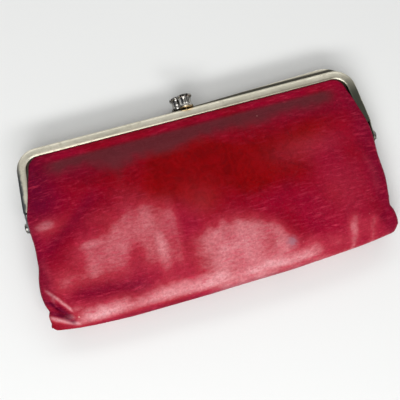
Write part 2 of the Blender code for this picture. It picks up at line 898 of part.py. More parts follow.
for level, (label, high_y) in enumerate(CARD_TOPS):
    low_z = CARD_LOW_Z + level * CARD_STEP
    pocket_plate(f"card_slot_{label}", CARD_HALF, high_y, low_z, CARD_CLOTH, dark)

# ---------------------------------------------------------------- what swings with the front frame

hinge = bpy.data.objects.new("front_frame_hinge", None)
WALLET.objects.link(hinge)
hinge.location = Vector((0.0, HINGE_Y - ORIGIN_Y, HINGE_Z)) * MM
for swinging in (
    front_frame,
    front_filler,
    front_spool,
    front_rivet,
    leather_front_upper,
    lining_front_upper,
):
    swinging.parent = hinge
    swinging.matrix_parent_inverse = Matrix.Translation(-hinge.location)
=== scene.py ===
"""Looks for the kiss-lock frame clutch wallet: soft leather, lining, zip, metal, stage and camera.

Lengths are millimetres with Y counted from the bottom edge, as in the CAD source, until a mesh
is made. to_row() turns them into metres in the row frame.
"""

import math

import bmesh
import bpy
import numpy as np
from mathutils import Matrix, Vector


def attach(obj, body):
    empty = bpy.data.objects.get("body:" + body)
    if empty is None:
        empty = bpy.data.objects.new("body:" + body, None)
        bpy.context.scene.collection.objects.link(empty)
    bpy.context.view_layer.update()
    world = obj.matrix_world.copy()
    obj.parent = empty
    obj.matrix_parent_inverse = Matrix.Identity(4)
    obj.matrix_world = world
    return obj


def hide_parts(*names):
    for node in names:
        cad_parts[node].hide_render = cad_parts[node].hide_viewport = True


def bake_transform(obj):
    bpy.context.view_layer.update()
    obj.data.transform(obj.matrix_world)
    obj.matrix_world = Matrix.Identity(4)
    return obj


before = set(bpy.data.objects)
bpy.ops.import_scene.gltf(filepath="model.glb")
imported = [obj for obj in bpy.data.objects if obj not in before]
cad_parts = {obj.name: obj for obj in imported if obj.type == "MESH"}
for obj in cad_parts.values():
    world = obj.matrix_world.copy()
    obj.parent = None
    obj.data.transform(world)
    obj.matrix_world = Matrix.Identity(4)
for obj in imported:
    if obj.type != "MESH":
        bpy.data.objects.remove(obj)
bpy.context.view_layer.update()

MM = 0.001
ORIGIN_Y = 57.96
MIDDLE_Z = 12.0      # between the front half and the back half
BAR_TOP = 105.0

BAG = "bag"

# ---------------------------------------------------------------- small numeric helpers


def smooth(low, high, value):
    share = np.clip((np.asarray(value, float) - low) / (high - low), 0.0, 1.0)
    return share * share * (3.0 - 2.0 * share)


def mix(a, b, share):
    return a + (b - a) * share


def curve_through(knots, at):
    """A smooth curve through (place, value) knots, with no overshoot."""
    xs = np.array([knot[0] for knot in knots], float)
    ys = np.array([knot[1] for knot in knots], float)
    steps = np.diff(xs)
    slopes = np.diff(ys) / steps
    tangents = np.zeros(len(xs))
    tangents[0], tangents[-1] = slopes[0], slopes[-1]
    same = slopes[:-1] * slopes[1:] > 0.0
    safe = np.where(same, slopes[:-1] + slopes[1:], 1.0)
    tangents[1:-1] = np.where(same, 2.0 * slopes[:-1] * slopes[1:] / safe, 0.0)
    at = np.clip(np.asarray(at, float), xs[0], xs[-1])
    index = np.clip(np.searchsorted(xs, at, side="right") - 1, 0, len(steps) - 1)
    step, share = steps[index], (at - xs[index]) / steps[index]
    return (
        ys[index] * (1 + 2 * share) * (1 - share) ** 2
        + ys[index + 1] * share**2 * (3 - 2 * share)
        + tangents[index] * step * share * (1 - share) ** 2
        - tangents[index + 1] * step * share**2 * (1 - share)
    )


def distance_to_line(x, y, line):
    """Distance to a polyline, and how far along it (0 to 1) the nearest point is."""
    line = np.array(line, float)
    lengths = np.linalg.norm(np.diff(line, axis=0), axis=1)
    total = lengths.sum()
    best = np.full(np.shape(x), 1e9)
    along = np.zeros(np.shape(x))
    walked = 0.0
    for start, end, length in zip(line[:-1], line[1:], lengths):
        way = (end - start) / length
        dx, dy = x - start[0], y - start[1]
        t = np.clip(dx * way[0] + dy * way[1], 0.0, length)
        gap = np.hypot(dx - t * way[0], dy - t * way[1])
        nearer = gap < best
        along = np.where(nearer, (walked + t) / total, along)
        best = np.minimum(best, gap)
        walked += length
    return best, along


def fold(x, y, line, height, width, sharp=2.0):
    """A ridge (or with a negative height a valley) that fades at both ends of its line."""
    gap, along = distance_to_line(x, y, line)
    fade = smooth(0.0, 0.25, along) * (1.0 - smooth(0.75, 1.0, along))
    return height * fade * np.exp(-((gap / width) ** sharp))


def bump(x, y, centre, radii, height, turn=0.0):
    cosine, sine = math.cos(math.radians(turn)), math.sin(math.radians(turn))
    dx, dy = x - centre[0], y - centre[1]
    along, across = dx * cosine + dy * sine, -dx * sine + dy * cosine
    return height * np.exp(-((along / radii[0]) ** 2) - (across / radii[1]) ** 2)


def waves(x, y, seed, wavelength, count=14):
    """Smooth random undulation between about -1 and 1."""
    random = np.random.default_rng(seed)
    total = np.zeros(np.broadcast(x, y).shape)
    for _ in range(count):
        angle = random.uniform(0.0, math.pi)
        length = wavelength * random.uniform(0.7, 1.6)
        phase = random.uniform(0.0, 2.0 * math.pi)
        way = x * math.cos(angle) + y * math.sin(angle)
        total = total + np.sin(2.0 * math.pi * way / length + phase)
    return total / math.sqrt(count)


# ---------------------------------------------------------------- meshes from grids


def to_row(points):
    moved = np.array(points, float)
    moved[:, 1] -= ORIGIN_Y
    return moved * MM


def add_object(name, data):
    made = bpy.data.objects.new(name, data)
    bpy.context.scene.collection.objects.link(made)
    return made


def make_object(name, points, faces, material):
    mesh = bpy.data.meshes.new(name)
    mesh.from_pydata(to_row(points).tolist(), [], [list(face) for face in faces])
    mesh.update()
    mesh.materials.append(material)
    mesh.shade_smooth()
    return add_object(name, mesh)


def apply_modifiers(obj):
    graph = bpy.context.evaluated_depsgraph_get()
    mesh = bpy.data.meshes.new_from_object(obj.evaluated_get(graph), depsgraph=graph)
    old = obj.data
    obj.modifiers.clear()
    obj.data = mesh
    bpy.data.meshes.remove(old)


def thicken(obj, thickness, offset=-1.0):
    solid = obj.modifiers.new("thickness", "SOLIDIFY")
    solid.thickness = thickness * MM
    solid.offset = offset
    apply_modifiers(obj)


def grid_faces(rows, columns):
    first = np.arange(rows - 1)[:, None] * columns + np.arange(columns - 1)[None, :]
    corners = (first, first + 1, first + columns + 1, first + columns)
    return np.stack([c.ravel() for c in corners], axis=1)


def set_flat_uv(obj, flat):
    """The sheet's own flat coordinates, in decimetres, as a UV map that the textures read."""
    layer = obj.data.uv_layers.new(name="Flat")
    corners = np.empty(len(obj.data.loops), np.int32)
    obj.data.loops.foreach_get("vertex_index", corners)
    layer.data.foreach_set("uv", (np.asarray(flat, float)[corners] / 100.0).ravel())


def set_tone(obj, tone, wear):
    """Painted masks of the sheet: four numbers for each point, and how much it is handled."""
    made = obj.data.color_attributes.new("tone", "FLOAT_COLOR", "POINT")
    made.data.foreach_set("color", np.asarray(tone, np.float32).ravel())
    made = obj.data.attributes.new("wear", "FLOAT", "POINT")
    made.data.foreach_set("value", np.asarray(wear, np.float32))


# ---------------------------------------------------------------- outline of the leather

FOLLOW_Y = 78.0      # above this the sheet's rows follow the frame
TOP_RISE = 100.0     # rise of the topmost row, which runs along the bar
LIP_Y = 92.0         # at which the straight of an arm is read from the knots
BAR_X = 70.0         # at which the straight of the bar is
SIDE_POINTS = 169    # points of a side below its corner
HALF_ARC = 12        # steps of half a corner
RIM_RADIUS = 1.6     # of the curl over the rail
TURNED_EDGE = 4.5    # leather that turns over along each edge
PANEL_INSET = 4.9    # from the frame's outer edge to where its lip meets the leather


def rounded_corner(before, corner, after, radius, steps):
    here = np.array(corner, float)
    to_before = np.array(before, float) - here
    to_after = np.array(after, float) - here
    to_before /= np.linalg.norm(to_before)
    to_after /= np.linalg.norm(to_after)
    half_angle = 0.5 * math.acos(float(to_before @ to_after))
    bisector = (to_before + to_after) / np.linalg.norm(to_before + to_after)
    centre = here + bisector * radius / math.sin(half_angle)
    first = here + to_before * radius / math.tan(half_angle) - centre
    last = here + to_after * radius / math.tan(half_angle) - centre
    turn = math.atan2(first[0] * last[1] - first[1] * last[0], float(first @ last))
    angles = turn * np.arange(steps + 1) / steps
    return np.stack(
        [
            centre[0] + np.cos(angles) * first[0] - np.sin(angles) * first[1],
            centre[1] + np.sin(angles) * first[0] + np.cos(angles) * first[1],
        ],
        axis=1,
    )


def rim_radius(y):
    """Radius at which the leather curls over along its edge: tight over the rail, fuller below."""
    return mix(2.7, RIM_RADIUS, smooth(58.0, 74.0, y))


class Panel:
    """The outline of a leather panel, as seen from the front.

    right_knots and left_knots give its half widths below the frame's corners. Above them it
    follows the inner lip of its frame, whose corners are given. left, right and top are where its
    curl starts: the sides go from low to the middle of a corner.
    """

    def __init__(self, right_knots, left_knots, right_corner, left_corner, radius):
        self.corners = (left_corner, right_corner)
        lip_radius = max(radius - (PANEL_INSET + RIM_RADIUS), 1.0)
        sides, tops = [], []
        for sign, knots, corner in zip((-1.0, 1.0), (left_knots, right_knots), self.corners):
            low_y = np.linspace(2.0, 86.0, SIDE_POINTS)
            low_x = sign * (curve_through(knots, low_y) - rim_radius(low_y))
            start = np.array([low_x[-1], low_y[-1]])
            lip_x = sign * (float(curve_through(knots, LIP_Y)) - RIM_RADIUS)
            bar_y = self.bar_y(corner[0])
            reach = (lip_x - start[0]) * (bar_y - start[1]) / (LIP_Y - start[1])
            top_end = (sign * BAR_X, self.bar_y(sign * BAR_X))
            meet = (start[0] + reach, bar_y)
            arc = rounded_corner(start, meet, top_end, lip_radius, 2 * HALF_ARC)
            sides.append(np.concatenate([np.stack([low_x, low_y], 1), arc[: HALF_ARC + 1]]))
            tops.append(arc[HALF_ARC:] if sign < 0 else arc[HALF_ARC:][::-1])
        self.left, self.right = sides
        self.top = np.concatenate(tops)

    def bar_y(self, x):
        (lx, ly), (rx, ry) = self.corners
        return ly + (x - lx) * (ry - ly) / (rx - lx) - PANEL_INSET - RIM_RADIUS

    def place(self, across, rise):
        """x and y of column across (-1 to 1) on row rise, which is y up to FOLLOW_Y and above
        that goes to TOP_RISE as the rows come to follow the frame."""
        left, right, top = self.left, self.right, self.top
        share = np.clip((rise - FOLLOW_Y) / (TOP_RISE - FOLLOW_Y), 0.0, 1.0)
        high = rise > FOLLOW_Y
        ends = []
        for side in (left, right):
            side_y = np.where(high, mix(FOLLOW_Y, side[-1][1], share), rise)
            ends.append(np.interp(side_y, side[:, 1], side[:, 0]))
        x = 0.5 * (ends[0] + ends[1]) + 0.5 * across * (ends[1] - ends[0])
        middle, half = 0.5 * (left[-1][0] + right[-1][0]), 0.5 * (right[-1][0] - left[-1][0])
        top_y = np.interp(middle + across * half, top[:, 0], top[:, 1])
        return x, np.where(high, mix(FOLLOW_Y, top_y, share), rise)

    def side_distance(self, x, y):
        lows = [side[:SIDE_POINTS:6] for side in (self.left, self.right)]
        corners = [side[SIDE_POINTS - 1 :: 3] for side in (self.left, self.right)]
        return np.minimum.reduce([distance_to_line(x, y, line)[0] for line in lows + corners])


FRONT_ARM = ((78, 97.5), (84, 95.9), (90, 94.1), (96, 92.6))
BACK_ARM = ((60, 100), (66, 99.4), (72, 98), (78, 96.7), (86, 94.8), (92, 93.4))

FRONT_PANEL = Panel(
    right_knots=(
        (6, 96.5), (12.5, 99.3), (17, 98.6), (21.5, 96.9), (28, 98.4), (40, 100), (50, 99.9),
        (60, 100.5), (66, 100.2), (72, 99), *FRONT_ARM,
    ),
    left_knots=(
        (6, 101.5), (11, 101.9), (15, 101), (20, 102.4), (25, 103), (32, 102.4), (40, 101),
        (50, 100.8), (60, 101.3), (66, 100.9), (72, 99.2), *FRONT_ARM,
    ),
    right_corner=(98.4, BAR_TOP),
    left_corner=(-98.4, BAR_TOP),
    radius=12.5,
)

# ---------------------------------------------------------------- relief of the front

SNAP_SPOT = (35.5, 15.6)
EDGE_X = -20.5       # edge of what the bag holds, showing through the leather
RELIEF_FOLDS = (     # line, height (negative for a valley) and half width
    (((-48, 44), (-49, 30), (-45, 17)), -0.45, 5),
    (((-94, 23), (-78, 20), (-62, 18.5), (-50, 16), (-38, 14)), -0.95, 4.2),
    (((-101, 43), (-92, 47.5), (-80, 55), (-66, 66), (-55, 74)), -0.9, 7),
    (((-86, 34.5), (-78, 35.5), (-70, 38.5)), -0.35, 1.6),
    (((-66, 31), (-55, 41), (-46, 50)), -0.35, 4),
    (((12, 45), (36, 33), (58, 16), (70, 8)), -0.5, 7),
    (((-104, 22), (-98, 17.8), (-92.5, 11.8), (-89, 6.5)), -1.8, 1.8),
    (((100, 23), (93, 18.5), (88, 12)), -1.3, 2.2),
    (((98, 33), (91, 29), (84, 20)), -0.4, 2),
    (((-3, 97), (-3, 78), (-8, 66)), -0.12, 6),
    (((-91.5, 99), (-88, 92), (-84.5, 83)), -0.55, 2),
    (((-101, 27), (-96.5, 22), (-90, 13.5), (-86.5, 8)), 0.95, 1.7),
    (((-104, 16), (-98, 11), (-92, 7.5)), 0.9, 2.3),
    (((-84, 43), (-74, 40.5), (-66, 36)), 0.45, 3),
    (((67.5, 4), (70.5, 11), (75, 24)), 0.35, 1.5),
    (((79.5, 4), (81.5, 11), (84, 20)), 0.35, 1.3),
    (((-93, 53), (-84, 59), (-72, 70)), 0.35, 3),
    (((90, 52), (92, 40), (89, 28)), 0.35, 3),
)
RELIEF_BUMPS = (     # centre, radii, height and turn in degrees
    ((-95.5, 57.5), (5, 6), 0.9, 20),
    ((-60, 27), (6, 11), 0.4, 10),
    ((60, 60), (26, 10), 0.35, -20),
    ((45, 8), (12, 4), -0.3, 0),
)


def front_relief(x, y):
    """Dents, folds and creases of the front, added to its height."""
    fade = smooth(8.0, 18.0, y) * (1.0 - smooth(50.0, 70.0, y))
    saw = np.where(
        x < EDGE_X,
        1.7 * smooth(-84.0, EDGE_X, x) ** 0.8,
        1.7 * np.exp(-np.maximum(x - EDGE_X, 0.0) / 4.5) + 1.5 * smooth(-22.0, 52.0, x),
    )
    relief = (saw - 1.5 * smooth(60.0, 95.0, x)) * fade
    for line, height, width in RELIEF_FOLDS:
        relief += fold(x, y, line, height, width)
    for centre, radii, height, turn in RELIEF_BUMPS:
        relief += bump(x, y, centre, radii, height, turn)
    relief += 0.10 * waves(x, y, 11, 21.0) * smooth(4.0, 20.0, y)
    relief += 0.035 * waves(x, y, 12, 8.0)
    spot = np.hypot(x - SNAP_SPOT[0], y - SNAP_SPOT[1])
    raised = 0.22 * (1.0 - smooth(1.9, 2.7, spot))
    return relief + raised + 0.10 * np.exp(-((spot - 3.2) / 0.7) ** 2)


def front_crown(x):
    """Height of the front's fullest line."""
    return 25.2 - 0.35 * smooth(20.0, 90.0, np.abs(x))


SLACK_START = (      # y below which the bag gets emptier, at x
    (-100, 66), (-60, 70), (-30, 66), (-16, 52), (6, 46), (34, 36), (50, 24), (100, 20),
)
SLACK_DEPTH = (      # share that it has lost at the bottom, at x
    (-100, 0.20), (-80, 0.34), (-24, 0.30), (-14, 0.22), (30, 0.16), (48, 0.05), (100, 0.02),
)


def slackness(x, y):
    """Share by which the bag is emptier towards its lower left than it is where it is fullest."""
    start = curve_through(SLACK_START, x)
    depth = curve_through(SLACK_DEPTH, x)
    fall = np.clip((start - y) / np.maximum(start - 12.0, 1.0), 0.0, 1.2)
    return depth * (fall - 0.12 * (1.0 - np.exp(-fall / 0.12)))


def edge_height(y):
    """Height at which the front curls over at its sides: over the rail's lip, or free."""
    return curve_through(((50.0, 18.6), (66.0, 18.9), (76.0, 19.2), (86.0, 19.1), (92.0, 18.2)), y)


TOP_PROFILE = (      # share of the full height at a distance below the bar
    (0, 0), (1, 0.045), (2.2, 0.035), (3.2, 0.04), (4.6, 0.13), (9, 0.36), (13, 0.545),
    (18, 0.72), (26, 0.88), (36, 0.965), (48, 1),
)


def side_share(side, y):
    """Share of the full height at a distance in from the sides."""
    held = smooth(60.0, 84.0, y)
    return 1.0 - np.exp(-((side / mix(17.0, 9.0, held)) ** mix(1.0, 1.15, held)))


def front_height(x, y):
    """The front as a height over x and y, above its lower part."""
    edge = edge_height(y)
    side = FRONT_PANEL.side_distance(x, y)
    from_top = np.maximum(FRONT_PANEL.bar_y(x) - y, 0.0)
    height = edge + (front_crown(x) - edge) * curve_through(TOP_PROFILE, from_top) * side_share(
        side, y
    )
    height = MIDDLE_Z + (height - MIDDLE_Z) * (1.0 - slackness(x, y))
    return height + front_relief(x, y) * smooth(0.0, 4.0, side) * smooth(0.0, 9.0, from_top)


# ---------------------------------------------------------------- back, and the roll between

BACK_PANEL = Panel(
    right_knots=((2, 96), (12.5, 98.8), (28, 98.2), (40, 99.4), *BACK_ARM),
    left_knots=((2, 100.8), (20, 101.8), (32, 101.6), (40, 100.6), *BACK_ARM),
    right_corner=(97.6, 109.8),
    left_corner=(-97.6, 104.0),
    radius=16.0,
)
FRONT_BEND_Y = 45.0      # below these the sheet is one rolled curve
BACK_BEND_Y = 30.0
BOTTOM_KNOTS = (     # y of the bottom edge at x
    (-103, 5.4), (-97, 4.2), (-90, 3.1), (-80, 2), (-70, 1.4), (-55, 0.8), (-20, 0.8), (5, 1.2),
    (30, 1.5), (50, 2.4), (70, 3.5), (80, 4.3), (90, 5.5), (98, 6.6),
)


def back_height(x, y):
    """The back as a height over x and y: flat where it rests, lifting to its edges."""
    lift = 2.0 * MIDDLE_Z - edge_height(y)
    side = BACK_PANEL.side_distance(x, y)
    from_top = np.maximum(BACK_PANEL.bar_y(x) - y, 0.0)
    flat = (1.0 - np.exp(-((side / 9.0) ** 1.2))) * (1.0 - np.exp(-((from_top / 7.0) ** 1.3)))
    rest = 0.12 + 0.10 * (1.0 + waves(x, y, 21, 26.0)) + 0.03 * waves(x, y, 22, 9.0)
    return lift * (1.0 - flat) + rest * smooth(0.0, 6.0, side) * flat


def rolled(across, angle, front):
    """A point of the rolled lower part. angle is 0 where it leaves the flat, 90 at the bottom."""
    panel = FRONT_PANEL if front else BACK_PANEL
    bend_y = FRONT_BEND_Y if front else BACK_BEND_Y
    sine, cosine = math.sin(math.radians(angle)), math.cos(math.radians(angle))
    cosine = max(cosine, 0.0)
    x = across * 98.0
    for _ in range(3):
        power = mix(2.2, 2.6, smooth(-28.0, -10.0, x)) if front else np.full(np.shape(x), 2.1)
        bottom = curve_through(BOTTOM_KNOTS, x)
        y = bend_y - (bend_y - bottom) * sine ** (2.0 / power)
        blend = smooth(60.0, 90.0, angle)
        front_x, _ = FRONT_PANEL.place(across, y)
        own_x, _ = panel.place(across, y)
        x = mix(own_x, front_x, blend)
    flat_y = np.full(np.shape(x), bend_y)
    if front:
        side = panel.side_distance(x, flat_y)
        edge = edge_height(flat_y)
        top = edge + (front_crown(x) - edge) * side_share(side, flat_y)
        half = (top - MIDDLE_Z) * (1.0 - slackness(x, y))
    else:
        half = MIDDLE_Z - back_height(x, flat_y)
    rise = cosine ** (2.0 / power)
    if not front:
        return x, y, MIDDLE_Z - half * rise
    edge_gap = np.minimum(x - x[..., :1], x[..., -1:] - x)
    relief = front_relief(x, y) * smooth(0.0, 3.0, edge_gap) * smooth(0.0, 0.45, rise)
    return x, y - relief * (1.0 - rise) * 0.5, MIDDLE_Z + half * rise + relief


def upper_rows(panel, height, columns, rises):
    """Rows of points over the part of a panel that isn't rolled."""
    rows = []
    for rise in rises:
        x, y = panel.place(columns, np.full(len(columns), rise))
        rows.append(np.stack([x, y, height(x, y)], axis=1))
    return rows


def front_grid(columns, rises, angles, back_angles):
    """Rows of points from the top of the front, round the bottom, to the flat of the back."""
    rows = upper_rows(FRONT_PANEL, front_height, columns, rises)
    rows += [np.stack(rolled(columns, angle, True), axis=1) for angle in angles]
    rows += [np.stack(rolled(columns, angle, False), axis=1) for angle in back_angles]
    return np.stack(rows)


def back_grid(columns, rises):
    return np.stack(upper_rows(BACK_PANEL, back_height, columns, rises))


# ---------------------------------------------------------------- curled edges


CURL_STEPS = 8
FREE_CURL_END = 150.0      # degrees that a free edge curls over
HELD_CURL_END = 92.0       # and one that is held on the rail


def curl(points, outward, normal, radius, start, end):
    """Rings of points that carry an edge over in an arc."""

    def spoke(angle):
        way = normal * np.cos(angle)[:, None] + outward * np.sin(angle)[:, None]
        return radius[:, None] * way

    centre = points - spoke(start)
    steps = range(1, CURL_STEPS + 1)
    return [centre + spoke(start + (end - start) * step / CURL_STEPS) for step in steps]


def sheet_coordinates(grid):
    """Flat coordinates of a grid: x, and the length walked down its middle column from y 105."""
    middle = grid[:, grid.shape[1] // 2]
    steps = np.linalg.norm(np.diff(middle, axis=0), axis=1)
    walked = np.concatenate([[0.0], np.cumsum(steps)])
    down = np.repeat((middle[0, 1] - walked)[:, None], grid.shape[1], axis=1)
    shift = grid[:, :, 1] - middle[:, 1:2]
    return np.stack([grid[:, :, 0], down + shift * (walked < 60.0)[:, None]], axis=2)


def edge_frames(grid, chain):
    """For each point of an edge chain: outward and normal directions, and where its curl ends.

    The normal looks forward on the front, turns under round the bottom and backward behind.
    """
    base = grid.reshape(-1, 3)[chain]
    columns = grid.shape[1]
    row, column = np.divmod(chain, columns)
    inner = np.where(column == 0, 3, np.where(column == columns - 1, columns - 4, column))
    inner_row = np.where((row == 0) & (column > 0) & (column < columns - 1), 3, row)
    inside = grid[inner_row, inner]
    tangent = np.gradient(base, axis=0)
    tangent /= np.linalg.norm(tangent, axis=1)[:, None]
    turn = np.clip((base[:, 2] - MIDDLE_Z) / 4.0, -1.0, 1.0)
    flatness = np.where(base[:, 1] > 50.0, np.sign(turn), turn)
    normal = np.stack(
        [np.zeros(len(base)), -np.sqrt(np.maximum(1.0 - flatness**2, 0.0)), flatness], axis=1
    )
    outward = np.cross(normal, tangent)
    outward /= np.linalg.norm(outward, axis=1)[:, None]
    normal = np.cross(tangent, outward)
    away = base - inside
    drop = np.arctan2(-(away * normal).sum(axis=1), (away * outward).sum(axis=1))
    drop = np.clip(drop, 0.0, 1.1)
    padded = np.pad(drop, 6, mode="edge")
    drop = np.convolve(padded, np.ones(13) / 13.0, mode="valid")
    held = smooth(64.0, 74.0, base[:, 1])
    end = np.radians(mix(FREE_CURL_END, HELD_CURL_END, held))
    return base, outward, normal, drop, end, rim_radius(base[:, 1])


def leather_sheet(name, grid, material):
    """A sheet of leather: the grid of points, and a strip that curls over along its edges."""
    rows, columns = grid.shape[:2]
    left = np.arange(rows)[::-1] * columns
    right = np.arange(rows) * columns + columns - 1
    chain = np.concatenate([left, np.arange(1, columns - 1), right])
    points = [grid.reshape(-1, 3)]
    flat = [sheet_coordinates(grid).reshape(-1, 2)]
    faces = [grid_faces(rows, columns)]
    base, outward, normal, start, end, radius = edge_frames(grid, chain)
    before = chain
    for number, ring in enumerate(curl(base, outward, normal, radius, start, end)):
        after = rows * columns + number * len(chain) + np.arange(len(chain))
        step = radius * (end - start) / CURL_STEPS * (number + 1)
        points.append(ring)
        flat.append(flat[0][chain] + outward[:, :2] * step[:, None])
        faces.append(np.stack([before[:-1], before[1:], after[1:], after[:-1]], axis=1))
        before = after
    flat = np.concatenate(flat)
    points = np.concatenate(points)
    obj = make_object(name, points, np.concatenate(faces).tolist(), material)
    shape = bmesh.new()
    shape.from_mesh(obj.data)
    bmesh.ops.recalc_face_normals(shape, faces=shape.faces)
    shape.faces.ensure_lookup_table()
    probe = shape.faces[(rows // 3) * (columns - 1) + columns // 2]
    wanted = 1.0 if probe.calc_center_median().z > MIDDLE_Z * MM else -1.0
    if probe.normal.z * wanted < 0.0:
        bmesh.ops.reverse_faces(shape, faces=shape.faces[:])
    shape.to_mesh(obj.data)
    shape.free()
    set_flat_uv(obj, flat)
    return obj, points


def walked(grid, axis):
    """Length walked along each row or column of a grid."""
    steps = np.linalg.norm(np.diff(grid, axis=axis), axis=2)
    return np.concatenate([np.zeros_like(np.take(steps, [0], axis)), np.cumsum(steps, axis)], axis)


def cut_size(grid, turned=TURNED_EDGE):
    """Width and length, in metres, that a sheet is cut to, with its turned edges."""
    width = float(walked(grid, 1)[:, -1].mean()) + 2.0 * turned
    return width * MM, (float(walked(grid, 0)[-1].mean()) + turned) * MM


# ---------------------------------------------------------------- materials


class Shader:
    """A material's node tree, with short ways to add nodes to it."""

    def __init__(self, name, roughness=0.5, metallic=0.0, specular=0.5):
        self.material = bpy.data.materials.new(name)
        self.material.use_nodes = True
        self.tree = self.material.node_tree
        self.surface = self.tree.nodes["Principled BSDF"]
        self.surface.inputs["Roughness"].default_value = roughness
        self.surface.inputs["Metallic"].default_value = metallic
        self.surface.inputs["Specular IOR Level"].default_value = specular

    def feed(self, socket, value):
        if isinstance(value, bpy.types.NodeSocket):
            self.tree.links.new(value, socket)
        elif value is not None:
            socket.default_value = value

    def node(self, kind, out, inputs=(), **settings):
        made = self.tree.nodes.new("ShaderNode" + kind)
        for name, value in settings.items():
            setattr(made, name, value)
        for key, value in dict(inputs).items():
            self.feed(made.inputs[key], value)
        return made.outputs[out]

    def flat(self):
        return self.node("UVMap", "UV", uv_map="Flat")

    def place(self):
        return self.node("TexCoord", "Object")

    def scaled(self, vector, scale, turn=0.0):
        inputs = {"Vector": vector, "Scale": scale, "Rotation": (0.0, 0.0, math.radians(turn))}
        return self.node("Mapping", "Vector", inputs)

    def noise(self, vector, scale, detail=3.0, rough=0.55, warp=0.0, offset=0.0):
        if offset:
            inputs = {"Vector": vector, "Location": (offset, 1.7 * offset, 0.0)}
            vector = self.node("Mapping", "Vector", inputs)
        inputs = {"Scale": scale, "Detail": detail, "Roughness": rough, "Distortion": warp}
        return self.node("TexNoise", "Fac", {"Vector": vector, **inputs})

    def cells(self, vector, scale, feature="F1"):
        inputs = {"Vector": vector, "Scale": scale, "Randomness": 1.0}
        return self.node("TexVoronoi", "Distance", inputs, feature=feature)

    def math(self, operation, a, b=None, clamp=False):
        inputs = {0: a} if b is None else {0: a, 1: b}
        return self.node("Math", 0, inputs, operation=operation, use_clamp=clamp)

    def times(self, a, b, clamp=False):
        return self.math("MULTIPLY", a, b, clamp)

    def ranged(self, value, low, high, to_low=0.0, to_high=1.0, kind="LINEAR"):
        inputs = {0: value, 1: low, 2: high, 3: to_low, 4: to_high}
        return self.node("MapRange", 0, inputs, interpolation_type=kind)

    def eased(self, value, low, high, to_low=0.0, to_high=1.0):
        return self.ranged(value, low, high, to_low, to_high, "SMOOTHSTEP")

    def axes(self, vector):
        """The three parts of a vector."""
        made = self.tree.nodes.new("ShaderNodeSeparateXYZ")
        self.feed(made.inputs[0], vector)
        return made.outputs

    def blend(self, share, a, b):
        return self.node("Mix", 2, {0: share, 6: a, 7: b}, data_type="RGBA", blend_type="MIX")

    def tone(self):
        """The painted masks: three channels and the fourth."""
        made = self.tree.nodes.new("ShaderNodeAttribute")
        made.attribute_name = "tone"
        parts = self.tree.nodes.new("ShaderNodeSeparateColor")
        self.tree.links.new(made.outputs["Color"], parts.inputs[0])
        return [*parts.outputs[:3], made.outputs["Alpha"]]

    def bump(self, height, distance_mm, strength=1.0, normal=None):
        inputs = {"Height": height, "Distance": distance_mm * MM, "Strength": strength}
        return self.node("Bump", "Normal", {**inputs, "Normal": normal})

    def mottle(self, share, deep, light):
        """The first colours: deep where share is 0 and light where it is 1."""
        self.colour = self.blend(share, rgb(*deep), rgb(*light))

    def paint(self, share, colour):
        """Lays a colour over what is there so far."""
        self.colour = self.blend(share, self.colour, rgb(*colour))

    def finish(self, roughness=None, normal=None):
        self.feed(self.surface.inputs["Base Color"], self.colour)
        self.feed(self.surface.inputs["Roughness"], roughness)
        self.feed(self.surface.inputs["Normal"], normal)
        return self.material


def rgb(red, green, blue):
    return (red, green, blue, 1.0)


